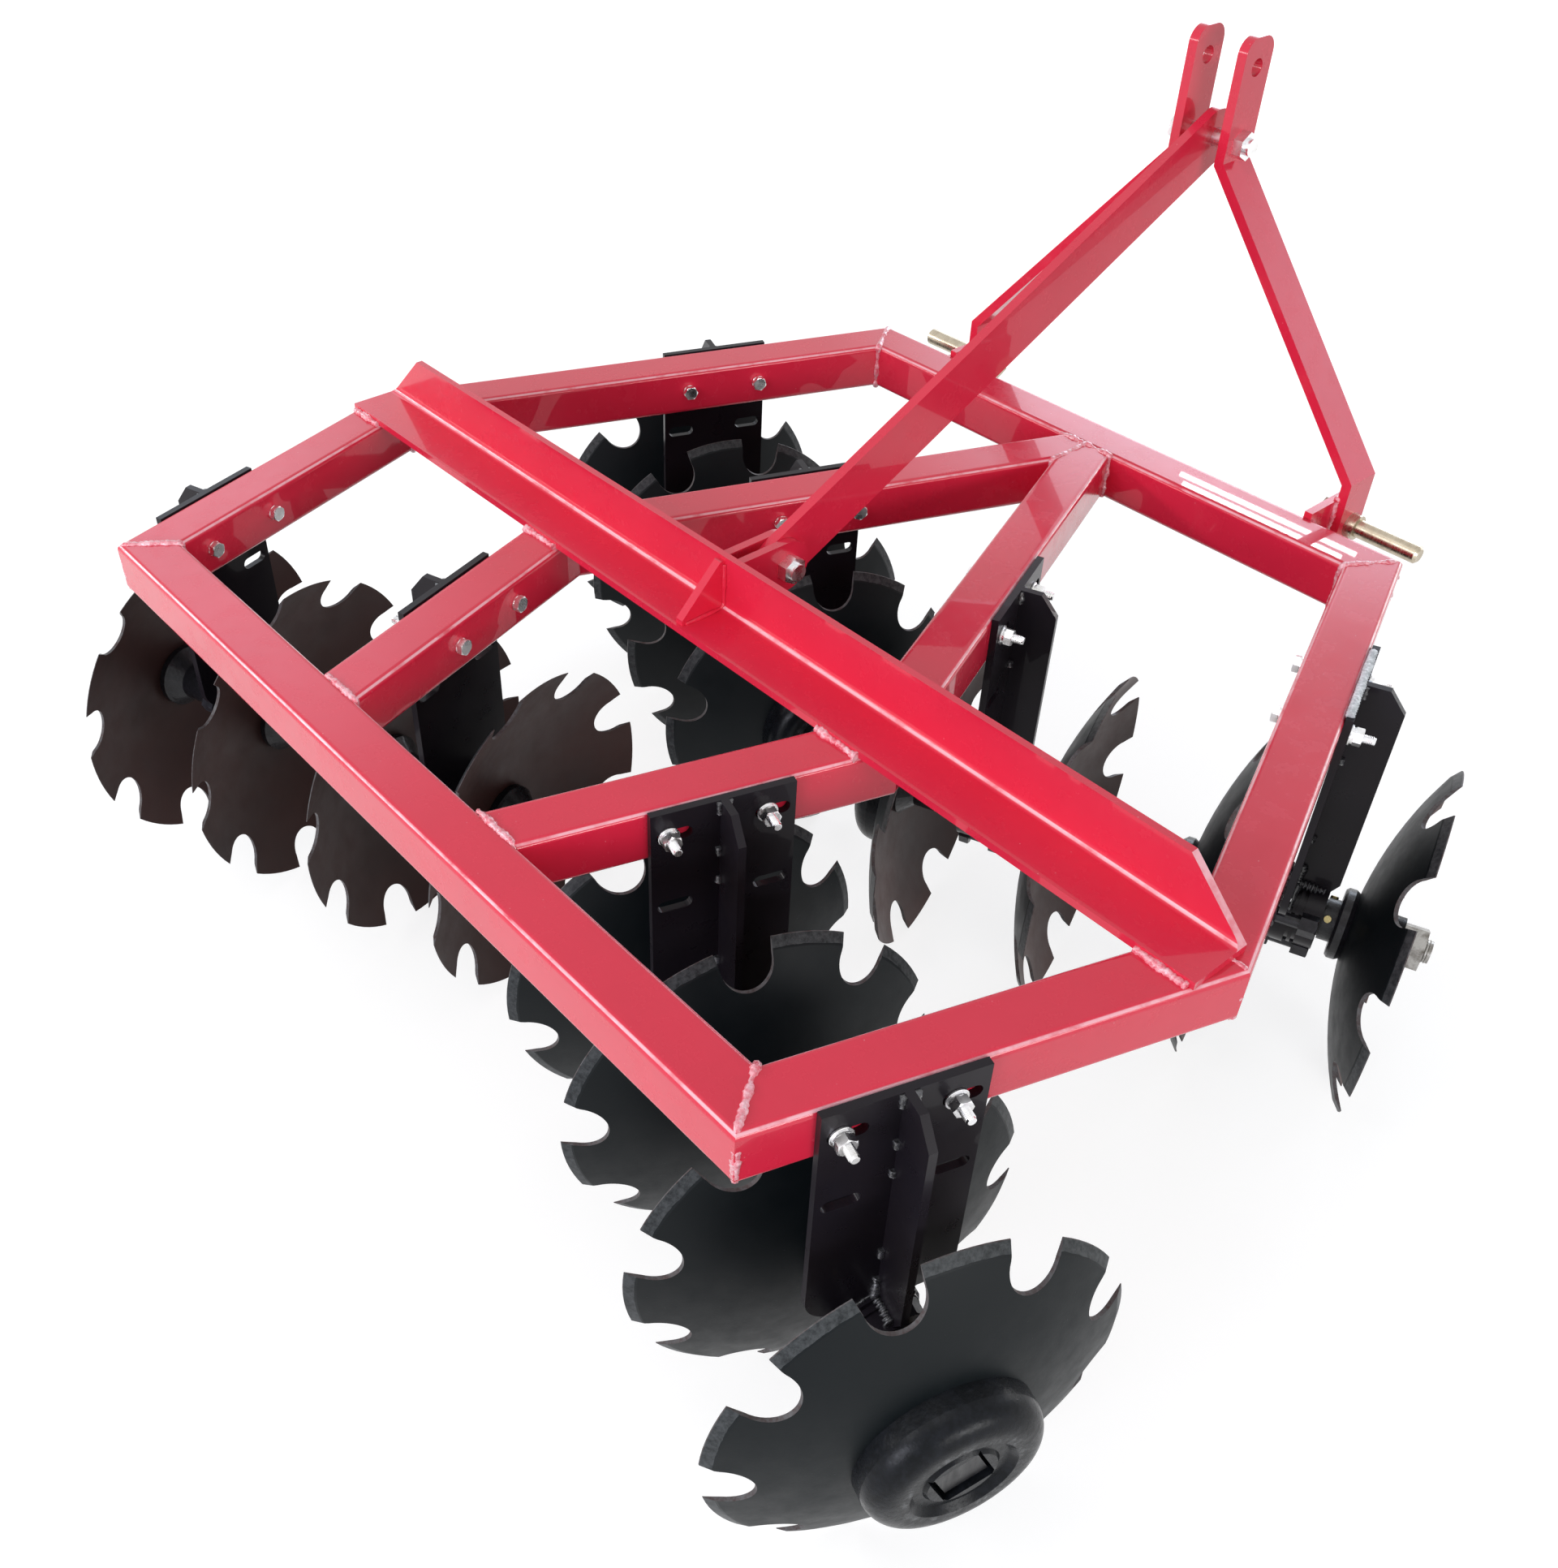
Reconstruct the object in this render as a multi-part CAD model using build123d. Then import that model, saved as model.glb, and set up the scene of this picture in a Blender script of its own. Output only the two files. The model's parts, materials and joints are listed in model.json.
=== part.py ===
from build123d import *
import os
from math import asin, cos, hypot, radians, sin, sqrt, tan

# Mounted tandem disc harrow: a welded square-tube frame on four gangs of notched discs.
# Millimetres. X is the machine's right, +Y is the way it is towed, Z is up.
# The origin is on the ground, in the middle of the machine's length and width.
os.makedirs("parts", exist_ok=True)

# Driving sizes of the tube frame. Lengths run from the widest line, where the side beams meet.
TUBE = 60.0
TUBE_WALL = 4.0
TUBE_CORNER = 7.0
WIDEST_HALF = 686.0
REAR_LENGTH = 440.0
FRONT_LENGTH = 675.0
REAR_ANGLE = 18.0
FRONT_ANGLE = 22.0

# Driving sizes of a gang
DISC_DIAMETER = 406.0
DISC_SPACING = 185.0
DISC_THICKNESS = 4.0
DISC_DISH = 52.0
DISCS_PER_GANG = 4
NOTCHES = 9
NOTCH_RADIUS = 27.0
NOTCH_DEPTH = 43.0
NOTCH_MOUTH = 60.0
BEVEL = 10.0
EDGE_THICKNESS = 1.2
SHAFT = 28.0
SHAFT_CLEARANCE = 0.3
DISC_SHIFT = 33.0

# Driving sizes of the spools and of the bearings they run in
JOURNAL_DIAMETER = 44.0
COLLAR_DIAMETER = 50.0
COLLAR_LENGTH = 10.0
BEARING_CLEARANCE = 0.3
THRUST_GAP = 1.5
HOUSING_LENGTH = 60.0
HOUSING_DIAMETER = 82.0
HOUSING_NOSE = 78.0
HOUSING_GROOVE = 70.0
HOUSING_GROOVE_WIDTH = 4.0
SPOOL_DIAMETER = 52.0
SPOOL_FLANGE = 84.0
FLANGE_THICKNESS = 14.0
FLANGE_ROUND = 3.0

# Driving sizes of the end washers, the shaft's head and its nut
CAP_DIAMETER = 170.0
CAP_EDGE = 7.0
CAP_HEIGHT = 30.0
CAP_FACE = 118.0
CAP_BULGE = 5.0
CAP_DISH = 102.0
CAP_DISH_DEPTH = 6.0
CAP_BOSS = 66.0
CAP_BOSS_HEIGHT = 3.0
CAP_SOCKET = 50.0
CAP_SOCKET_DEPTH = 16.0
HEAD = 42.0
HEAD_HEIGHT = 11.0
NUT_ACROSS_FLATS = 46.0
NUT_HEIGHT = 26.0
NUT_WASHER_NECK = 58.0
NUT_WASHER_LENGTH = 52.0
SHAFT_TAIL = 8.0
THREAD_DIAMETER = 26.0

# Driving sizes of the standards that carry the gangs. Their places run from the widest corner.
SHAFT_BELOW_TOP = 317.0
PLATE_WIDTH = 148.0
PLATE_THICKNESS = 8.0
PLATE_LENGTH = 287.0
PLATE_CORNER = 35.0
FIN_OUT = 52.0
FIN_THICKNESS = 8.0
FIN_TOP = 32.0
FIN_CHAMFER_DOWN = 24.0
FIN_STRAIGHT = 262.0
FIN_FOOT_DOWN = 20.0
FIN_FOOT_OUT = 40.0
BEARING_OUT = 15.0
SLOT_PITCH = 100.0
SLOT_LENGTH = 36.0
SLOT_WIDTH = 14.0
SLOT_TOP_DROP = 28.0
SLOT_ROWS = 90.0
REAR_STANDARD_BEHIND_WIDEST = 321.5
FRONT_STANDARD_AHEAD_OF_WIDEST = 464.0

# Driving sizes of the cross angle, the mast and the hitch
ANGLE_LEG = 70.0
ANGLE_THICKNESS = 8.0
ANGLE_ROOT = 8.0
ANGLE_AHEAD = 15.0
ANGLE_HALF_BOTTOM = 668.0
ANGLE_HALF_TOP = 602.0
GUSSET_THICKNESS = 10.0
GUSSET_LEG = 58.0
GUSSET_NOSE = 6.0
BAR_WIDTH = 50.0
BAR_THICKNESS = 12.0
MAST_HEIGHT = 460.0
EAR_ABOVE_HOLE = 32.0
EAR_BELOW_HOLE = 102.0
EAR_GAP = 54.0
EAR_ROUND = 18.0
TOP_PIN_HOLE = 19.4
HITCH_AHEAD = 76.0
HITCH_PIN = 22.0
HITCH_PIN_BELOW_TOP = 30.0
HITCH_PIN_TIP = 397.0
HITCH_PIN_CHAMFER = 3.0
HITCH_PIN_ROOT = 25.0
HITCH_PIN_COLLAR = 30.0
HITCH_PIN_COLLAR_LENGTH = 12.0
HITCH_PIN_NUT = 36.0
HITCH_PIN_NUT_HEIGHT = 16.0
HITCH_HOLE_CLEARANCE = 0.1
FOOT_X = 297.0
FOOT_BEND_ABOVE_TOP = 28.0
FOOT_BELOW_PIN = 28.0
HITCH_PLATE_THICKNESS = 10.0
HITCH_PLATE_ABOVE_TOP = 6.0
BRACE_WIDTH = 62.0
BRACE_THICKNESS = 12.0
BRACE_FOOT_AHEAD = 88.0
BRACE_FOOT_ABOVE_TOP = 32.0
BRACE_TOP_BELOW_HOLE = 82.0
BRACE_BOLT = 20.0
BRACE_BOLT_CLEARANCE = 0.2
BRACE_BOLT_HEAD = 28.0
BRACE_BOLT_HEAD_HEIGHT = 12.0
BRACE_BOLT_TAIL = 6.0
LUG_THICKNESS = 10.0
LUG_WIDTH = 60.0
LUG_GAP = 0.3

# Places that follow from the driving sizes
disc_radius = DISC_DIAMETER / 2
frame_top = disc_radius + SHAFT_BELOW_TOP
rear_half = WIDEST_HALF - REAR_LENGTH * tan(radians(REAR_ANGLE))
front_half = WIDEST_HALF - FRONT_LENGTH * tan(radians(FRONT_ANGLE))
standard_spacing = 2 * DISC_SPACING
overrun = 4.0  # how far a cutting shape runs past what it cuts
sphere_radius = (disc_radius**2 + DISC_DISH**2) / (2 * DISC_DISH)


def save(shape, name):
    shape.label = name
    export_step(shape, f"parts/{name}.step")


def mirrored(shape):
    return mirror(shape, about=Plane.YZ)


def meet(line_a, line_b):
    """Plan point where two lines meet. A line is (x, y, dx, dy)."""
    ax, ay, adx, ady = line_a
    bx, by, bdx, bdy = line_b
    k = ((bx - ax) * bdy - (by - ay) * bdx) / (adx * bdy - ady * bdx)
    return (ax + k * adx, ay + k * ady)


def shifted(line, left):
    """The same line moved to its left by a distance."""
    x, y, dx, dy = line
    length = hypot(dx, dy)
    return (x - dy / length * left, y + dx / length * left, dx, dy)


def strip(points, thickness):
    """Outline of a bent bar seen edge-on: a band of even thickness through the points."""
    lines = []
    for (x0, y0), (x1, y1) in zip(points, points[1:]):
        lines.append((x0, y0, x1 - x0, y1 - y0))
    outline = []
    for side in (thickness / 2, -thickness / 2):
        band = [shifted(line, side) for line in lines]
        start = [(band[0][0], band[0][1])]
        bends = [meet(a, b) for a, b in zip(band, band[1:])]
        end = [(band[-1][0] + band[-1][2], band[-1][1] + band[-1][3])]
        run = start + bends + end
        outline += run if side > 0 else run[::-1]
    return outline


def slab(outline, bottom, height):
    """Upright prism over a plan outline."""
    return extrude(Plane((0, 0, bottom)) * make_face(Polyline(*outline, close=True)), height)


# Plan of the frame, drawn for the right half. Every line keeps the frame's inside on its left.
rear_sin, rear_cos = sin(radians(REAR_ANGLE)), cos(radians(REAR_ANGLE))
front_sin, front_cos = sin(radians(FRONT_ANGLE)), cos(radians(FRONT_ANGLE))
rear_line = (0, -REAR_LENGTH, 1, 0)
rear_side = (rear_half, -REAR_LENGTH, rear_sin, rear_cos)
front_side = (WIDEST_HALF, 0, -front_sin, front_cos)
front_line = (front_half, FRONT_LENGTH, -1, 0)
centre_line = (0, FRONT_LENGTH, 0, -1)

# Places of the gangs: where each outer standard meets the outer face of its beam
rear_seat = (
    WIDEST_HALF - REAR_STANDARD_BEHIND_WIDEST * rear_sin,
    -REAR_STANDARD_BEHIND_WIDEST * rear_cos,
)
front_seat = (
    WIDEST_HALF - FRONT_STANDARD_AHEAD_OF_WIDEST * front_sin,
    FRONT_STANDARD_AHEAD_OF_WIDEST * front_cos,
)

# The origin lies midway between the mast's front edge and the rearmost disc's rim
rim_out = BEARING_OUT + DISC_SHIFT + DISC_SPACING / 2 - DISC_DISH
rearmost = rear_seat[1] - rim_out * rear_sin - disc_radius * rear_cos
foremost = FRONT_LENGTH + HITCH_AHEAD + BAR_WIDTH / 2
widest_y = -(rearmost + foremost) / 2
machine = Pos(0, widest_y, 0)


def beam(outline):
    """Square tube cut to a plan outline whose first two points lie on its outer face."""
    (ax, ay), (bx, by) = outline[0], outline[1]
    length = hypot(bx - ax, by - ay)
    ux, uy = (bx - ax) / length, (by - ay) / length
    start = (
        ax - ux * TUBE * 2 - uy * TUBE / 2,
        ay - uy * TUBE * 2 + ux * TUBE / 2,
        frame_top - TUBE / 2,
    )
    inner = TUBE - 2 * TUBE_WALL
    ring = RectangleRounded(TUBE, TUBE, TUBE_CORNER)
    ring -= RectangleRounded(inner, inner, TUBE_CORNER - TUBE_WALL)
    tube = extrude(Plane(start, x_dir=(-uy, ux, 0), z_dir=(ux, uy, 0)) * ring, length + TUBE * 4)
    return tube & slab(outline, frame_top - TUBE - overrun, TUBE + 2 * overrun)


# Outer beams: two across and four down the sides, mitred at their corners
rear_right = meet(rear_line, rear_side)
widest = meet(rear_side, front_side)
front_right = meet(front_side, front_line)
rear_right_in = meet(shifted(rear_line, TUBE), shifted(rear_side, TUBE))
widest_in = meet(shifted(rear_side, TUBE), shifted(front_side, TUBE))
front_right_in = meet(shifted(front_side, TUBE), shifted(front_line, TUBE))


def other_side(point):
    return (-point[0], point[1])


rear_beam = beam([other_side(rear_right), rear_right, rear_right_in, other_side(rear_right_in)])
front_beam = beam([front_right, other_side(front_right), other_side(front_right_in), front_right_in])
rear_side_beam = beam([rear_right, widest, widest_in, rear_right_in])
front_side_beam = beam([widest, front_right, front_right_in, widest_in])
save(machine * rear_beam, "rear_beam")
save(machine * front_beam, "front_beam")

# Inner beams: parallel to the side beams, one standard spacing inside them
rear_inner_out = shifted(rear_side, standard_spacing)
rear_inner_in = shifted(rear_side, standard_spacing + TUBE)
front_inner_out = shifted(front_side, standard_spacing)
front_inner_in = shifted(front_side, standard_spacing + TUBE)
knee_out = meet(rear_inner_out, front_inner_out)
knee_in = meet(rear_inner_in, front_inner_in)
rear_inner_beam = beam([
    meet(shifted(rear_line, TUBE), rear_inner_out),
    knee_out,
    knee_in,
    meet(shifted(rear_line, TUBE), rear_inner_in),
])
front_inner_beam = beam([
    knee_out,
    meet(front_inner_out, shifted(front_line, TUBE)),
    meet(centre_line, shifted(front_line, TUBE)),
    meet(centre_line, front_inner_in),
    knee_in,
])
beam_pairs = {
    "rear_side_beam": rear_side_beam,
    "front_side_beam": front_side_beam,
    "rear_inner_beam": rear_inner_beam,
    "front_inner_beam": front_inner_beam,
}
for name, shape in beam_pairs.items():
    save(machine * shape, f"{name}_right")
    save(machine * mirrored(shape), f"{name}_left")

# Cross angle: a rolled angle laid over the knees, with its upright leg in front
leg = ANGLE_LEG
angle_profile = Polyline(
    (0, 0), (0, leg), (-ANGLE_THICKNESS, leg), (-ANGLE_THICKNESS, ANGLE_THICKNESS),
    (-leg, ANGLE_THICKNESS), (-leg, 0), close=True,
)
angle_face = make_face(angle_profile)
root = angle_face.vertices().sort_by_distance((-ANGLE_THICKNESS, ANGLE_THICKNESS, 0))[0]
angle_face = fillet(root, ANGLE_ROOT)
section_plane = Plane((-ANGLE_HALF_BOTTOM, ANGLE_AHEAD, frame_top), x_dir=(0, 1, 0), z_dir=(1, 0, 0))
cross_angle = extrude(section_plane * angle_face, 2 * ANGLE_HALF_BOTTOM)
end_outline = [
    (-ANGLE_HALF_BOTTOM, 0), (ANGLE_HALF_BOTTOM, 0), (ANGLE_HALF_BOTTOM, ANGLE_THICKNESS),
    (ANGLE_HALF_TOP, leg), (-ANGLE_HALF_TOP, leg), (-ANGLE_HALF_BOTTOM, ANGLE_THICKNESS),
]
end_plane = Plane((0, ANGLE_AHEAD + overrun, frame_top), x_dir=(1, 0, 0), z_dir=(0, -1, 0))
cross_angle &= extrude(end_plane * make_face(Polyline(*end_outline, close=True)), leg + 2 * overrun)
save(machine * cross_angle, "cross_angle")

# Gusset in the middle of the angle
gusset_corner = (ANGLE_AHEAD - ANGLE_THICKNESS, frame_top + ANGLE_THICKNESS)
gusset_outline = make_face(Polyline(
    (0, 0), (0, GUSSET_LEG), (-GUSSET_NOSE, GUSSET_LEG), (-GUSSET_LEG, GUSSET_NOSE), (-GUSSET_LEG, 0),
    close=True,
))
gusset_plane = Plane((-GUSSET_THICKNESS / 2, *gusset_corner), x_dir=(0, 1, 0), z_dir=(1, 0, 0))
gusset = extrude(gusset_plane * gusset_outline, GUSSET_THICKNESS) - cross_angle
save(machine * gusset, "angle_gusset")

# Mast: two bent flat bars that meet at the top ears, and a brace back to the cross angle
hitch_z = frame_top - HITCH_PIN_BELOW_TOP
ear_z = hitch_z + MAST_HEIGHT
bar_y = FRONT_LENGTH + HITCH_AHEAD
ear_x = (EAR_GAP + BAR_THICKNESS) / 2
upright_path = [
    (ear_x, ear_z + EAR_ABOVE_HOLE),
    (ear_x, ear_z - EAR_BELOW_HOLE),
    (FOOT_X, frame_top + FOOT_BEND_ABOVE_TOP),
    (FOOT_X, hitch_z - FOOT_BELOW_PIN),
]
bar_back = Plane((0, bar_y + BAR_WIDTH / 2, 0), x_dir=(1, 0, 0), z_dir=(0, -1, 0))
upright = extrude(bar_back * make_face(Polyline(*strip(upright_path, BAR_THICKNESS), close=True)), BAR_WIDTH)
upright = fillet(upright.edges().filter_by(Axis.X).group_by(Axis.Z)[-1], EAR_ROUND)


def cross_rod(y, z, diameter, x_from, x_to):
    """Round bar along X."""
    return extrude(Plane((x_from, y, z), z_dir=(1, 0, 0)) * Circle(diameter / 2), x_to - x_from)


brace_top_z = ear_z - BRACE_TOP_BELOW_HOLE
hitch_hole = HITCH_PIN_ROOT + 2 * HITCH_HOLE_CLEARANCE
bolt_hole = BRACE_BOLT + 2 * BRACE_BOLT_CLEARANCE
upright -= cross_rod(bar_y, ear_z, TOP_PIN_HOLE, 0, FOOT_X)
upright -= cross_rod(bar_y, brace_top_z, bolt_hole, 0, ear_x * 2)
upright -= cross_rod(bar_y, hitch_z, hitch_hole, FOOT_X - TUBE, FOOT_X + TUBE)
save(machine * upright, "mast_upright_right")
save(machine * mirrored(upright), "mast_upright_left")

# Hitch plates: from the front beam to the mast's feet, pierced by the lower link pins
plate_inner_x = FOOT_X - BAR_THICKNESS / 2 - HITCH_PLATE_THICKNESS
plate_outline = Polyline(
    (FRONT_LENGTH, frame_top + HITCH_PLATE_ABOVE_TOP),
    (bar_y + BAR_WIDTH / 2, frame_top + HITCH_PLATE_ABOVE_TOP),
    (bar_y + BAR_WIDTH / 2, hitch_z - FOOT_BELOW_PIN),
    (FRONT_LENGTH, frame_top - TUBE + TUBE_CORNER),
    close=True,
)
plate_plane = Plane((plate_inner_x, 0, 0), x_dir=(0, 1, 0), z_dir=(1, 0, 0))
hitch_plate = extrude(plate_plane * make_face(plate_outline), HITCH_PLATE_THICKNESS)
hitch_plate -= cross_rod(bar_y, hitch_z, hitch_hole, 0, FOOT_X)
save(machine * hitch_plate, "hitch_plate_right")
save(machine * mirrored(hitch_plate), "hitch_plate_left")

# Lower link pin: turned in steps, with its collar outside the mast's foot and its nut inside the plate
foot_face_x = FOOT_X + BAR_THICKNESS / 2
collar_end_x = foot_face_x + HITCH_PIN_COLLAR_LENGTH
pin = cross_rod(bar_y, hitch_z, HITCH_PIN, foot_face_x, HITCH_PIN_TIP)
pin = chamfer(pin.edges().filter_by(GeomType.CIRCLE).sort_by(Axis.X)[-1], HITCH_PIN_CHAMFER)
pin += cross_rod(bar_y, hitch_z, HITCH_PIN_COLLAR, foot_face_x, collar_end_x)
pin += cross_rod(bar_y, hitch_z, HITCH_PIN_ROOT, plate_inner_x - HITCH_PIN_NUT_HEIGHT, foot_face_x)
nut_face = Plane((plate_inner_x - HITCH_PIN_NUT_HEIGHT, bar_y, hitch_z), z_dir=(1, 0, 0))
pin += extrude(nut_face * RegularPolygon(HITCH_PIN_NUT / 2, 6, major_radius=False), HITCH_PIN_NUT_HEIGHT)
save(machine * pin, "hitch_pin_right")
save(machine * mirrored(pin), "hitch_pin_left")

# Brace: a flat bar on edge between the ears and two lugs on the cross angle
brace_foot = (BRACE_FOOT_AHEAD, frame_top + BRACE_FOOT_ABOVE_TOP)
brace_head = (bar_y, brace_top_z)


def link(start, end, width, x_from, x_to):
    """Flat bar on edge with round ends about two points of the YZ plane."""
    (ya, za), (yb, zb) = start, end
    length = hypot(yb - ya, zb - za)
    along = (0, (yb - ya) / length, (zb - za) / length)
    middle = (x_from, (ya + yb) / 2, (za + zb) / 2)
    outline = Plane(middle, x_dir=along, z_dir=(1, 0, 0)) * SlotCenterToCenter(length, width)
    return extrude(outline, x_to - x_from)


half_brace = BRACE_THICKNESS / 2
brace = link(brace_foot, brace_head, BRACE_WIDTH, -half_brace, half_brace)
for y, z in (brace_foot, brace_head):
    brace -= cross_rod(y, z, bolt_hole, -BRACE_THICKNESS, BRACE_THICKNESS)
save(machine * brace, "mast_brace")

lug_tail = (ANGLE_AHEAD - LUG_WIDTH, brace_foot[1])
lug_inner = half_brace + LUG_GAP
lug_side = link(lug_tail, brace_foot, LUG_WIDTH, lug_inner, lug_inner + LUG_THICKNESS)
lug_side &= Pos(0, ANGLE_AHEAD + ANGLE_LEG * 2, frame_top) * Box(ANGLE_LEG * 4, ANGLE_LEG * 4, ANGLE_LEG * 4)
lug_side -= cross_rod(brace_foot[0], brace_foot[1], bolt_hole, 0, TUBE)
save(machine * lug_side, "brace_lug_right")
save(machine * mirrored(lug_side), "brace_lug_left")


def bolt(y, z, half_grip):
    """Hexagon bolt along X with its nut."""
    head_x = -half_grip - BRACE_BOLT_HEAD_HEIGHT
    shank = cross_rod(y, z, BRACE_BOLT, head_x, half_grip + BRACE_BOLT_HEAD_HEIGHT + BRACE_BOLT_TAIL)
    for x in (head_x, half_grip):
        hexagon = Plane((x, y, z), z_dir=(1, 0, 0)) * RegularPolygon(BRACE_BOLT_HEAD / 2, 6, major_radius=False)
        shank += extrude(hexagon, BRACE_BOLT_HEAD_HEIGHT)
    return shank


save(machine * bolt(bar_y, brace_top_z, EAR_GAP / 2 + BAR_THICKNESS), "mast_bolt")
save(machine * bolt(brace_foot[0], brace_foot[1], lug_inner + LUG_THICKNESS), "brace_bolt")

# Standard: a slotted plate on the beam's outer face, a fin down its middle and the bearing housing.
# Its own X points out of the beam, Y along the beam and Z up from the frame's top.
half_plate = PLATE_WIDTH / 2
plate_face = make_face(Polyline(
    (-half_plate, 0), (half_plate, 0), (half_plate, -PLATE_LENGTH), (-half_plate, -PLATE_LENGTH), close=True,
))
plate_face = fillet(plate_face.vertices().group_by(Axis.Y)[0], PLATE_CORNER)
for row in range(2):
    for side in (-1, 1):
        place = Pos(side * SLOT_PITCH / 2, -SLOT_TOP_DROP - row * SLOT_ROWS)
        plate_face -= place * SlotOverall(SLOT_LENGTH, SLOT_WIDTH)
out_plane = Plane((0, 0, 0), x_dir=(0, 1, 0), z_dir=(1, 0, 0))
standard = extrude(out_plane * plate_face, PLATE_THICKNESS)
fin_root = PLATE_THICKNESS / 2
fin_outline = Polyline(
    (fin_root, 0), (FIN_TOP, 0), (FIN_OUT, -FIN_CHAMFER_DOWN), (FIN_OUT, -FIN_STRAIGHT),
    (FIN_FOOT_OUT, -FIN_STRAIGHT - FIN_FOOT_DOWN), (FIN_FOOT_OUT, -SHAFT_BELOW_TOP),
    (fin_root, -SHAFT_BELOW_TOP), close=True,
)
side_plane = Plane((0, FIN_THICKNESS / 2, 0), x_dir=(1, 0, 0), z_dir=(0, -1, 0))
standard += extrude(side_plane * make_face(fin_outline), FIN_THICKNESS)

# Bearing housing: a turned barrel with two ring grooves ahead of its narrower nose, bored for the journal
housing_low = BEARING_OUT - HOUSING_LENGTH / 2
housing_high = BEARING_OUT + HOUSING_LENGTH / 2
groove = HOUSING_GROOVE_WIDTH
nose_start = BEARING_OUT + groove / 2
housing_steps = [
    (housing_low, HOUSING_DIAMETER), (nose_start - groove, HOUSING_DIAMETER),
    (nose_start - groove, HOUSING_GROOVE), (nose_start, HOUSING_GROOVE),
    (nose_start, HOUSING_NOSE), (nose_start + groove, HOUSING_NOSE),
    (nose_start + groove, HOUSING_GROOVE), (nose_start + 2 * groove, HOUSING_GROOVE),
    (nose_start + 2 * groove, HOUSING_NOSE), (housing_high, HOUSING_NOSE),
]
housing_outline = [(housing_low, 0)] + [(x, d / 2) for x, d in housing_steps] + [(housing_high, 0)]
housing = revolve(make_face(Polyline(*housing_outline, close=True)), Axis.X)
housing_axis = Pos(0, 0, -SHAFT_BELOW_TOP)
bore = Plane((housing_low, 0, 0), z_dir=(1, 0, 0)) * Circle(JOURNAL_DIAMETER / 2 + BEARING_CLEARANCE)
standard += housing_axis * housing
standard -= housing_axis * extrude(bore, HOUSING_LENGTH)

# Each gang's place: seat on the outer beam, outward direction, turn about Z and side of the convex faces.
# The last two columns are the right and the left gang's roll, in degrees, and quarter turns of its discs.
gangs = [
    ("rear", rear_seat, (rear_cos, -rear_sin), -REAR_ANGLE, 1, (23.5, [0, 2, 1, 3]), (-1.0, [1, 0, 1, 0])),
    ("front", front_seat, (front_cos, front_sin), FRONT_ANGLE, -1, (3.5, [0, 1, 1, 0]), (5.0, [0, 1, 0, 0])),
]
for gang_name, seat, outward, turn, convex, right_roll, left_roll in gangs:
    for position, inset in (("outer", 0), ("inner", standard_spacing)):
        place = Pos(seat[0] - outward[0] * inset, seat[1] - outward[1] * inset, frame_top) * Rot(Z=turn)
        save(machine * place * standard, f"{gang_name}_right_{position}_standard")
        save(machine * mirrored(place * standard), f"{gang_name}_left_{position}_standard")

# Gang: its own X is the shaft and points to the discs' convex side. Its middle lies between the two bearings.


def sag(radius, sphere):
    """How far a sphere's surface falls away from its crown at a radius."""
    return sphere - sqrt(sphere**2 - radius**2)


inner_sphere = sphere_radius - DISC_THICKNESS
bevel_radius = disc_radius - BEVEL
crown_mid = (-sag(bevel_radius / 2, sphere_radius), bevel_radius / 2)
hollow_mid = (-DISC_THICKNESS - sag(disc_radius / 2, inner_sphere), disc_radius / 2)
rim_back = -DISC_THICKNESS - sag(disc_radius, inner_sphere)
dish_profile = make_face([
    ThreePointArc((0, 0), crown_mid, (-sag(bevel_radius, sphere_radius), bevel_radius)),
    Line((-sag(bevel_radius, sphere_radius), bevel_radius), (rim_back + EDGE_THICKNESS, disc_radius)),
    Line((rim_back + EDGE_THICKNESS, disc_radius), (rim_back, disc_radius)),
    ThreePointArc((rim_back, disc_radius), hollow_mid, (-DISC_THICKNESS, 0)),
    Line((-DISC_THICKNESS, 0), (0, 0)),
])
plain_disc = revolve(dish_profile, Axis.X)
square_hole = Box(DISC_DISH * 3, SHAFT + 2 * SHAFT_CLEARANCE, SHAFT + 2 * SHAFT_CLEARANCE)
notch_centre = disc_radius - NOTCH_DEPTH + NOTCH_RADIUS
notch_flare = (NOTCH_MOUTH / 2 - NOTCH_RADIUS) / (disc_radius - notch_centre)
past_rim = disc_radius + overrun
half_mouth = NOTCH_RADIUS + notch_flare * (past_rim - notch_centre)
notch_face = Pos(notch_centre, 0) * Circle(NOTCH_RADIUS)
notch_face += make_face(Polyline(
    (notch_centre, -NOTCH_RADIUS), (past_rim, -half_mouth),
    (past_rim, half_mouth), (notch_centre, NOTCH_RADIUS), close=True,
))
notch_plane = Plane((-DISC_DISH * 2, 0, 0), x_dir=(0, 0, -1), z_dir=(1, 0, 0))
notch = extrude(notch_plane * notch_face, DISC_DISH * 3)
disc = plain_disc - square_hole
for i in range(NOTCHES):
    disc -= Rot(X=(i + 0.5) * 360 / NOTCHES) * notch

disc_places = [DISC_SHIFT + (i - (DISCS_PER_GANG - 1) / 2) * DISC_SPACING for i in range(DISCS_PER_GANG)]
shaft_hole = Box(DISC_SPACING * 8, SHAFT + 2 * SHAFT_CLEARANCE, SHAFT + 2 * SHAFT_CLEARANCE)


def end_line(x, diameter, sphere):
    """End of a turned piece, from its axis out: flat, or seated on a sphere. Also gives its corner."""
    r = diameter / 2
    if sphere is None:
        return Line((x, 0), (x, r)), (x, r)
    corner = (x - sag(r, sphere), r)
    return ThreePointArc((x, 0), (x - sag(r / 2, sphere), r / 2), corner), corner


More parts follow.
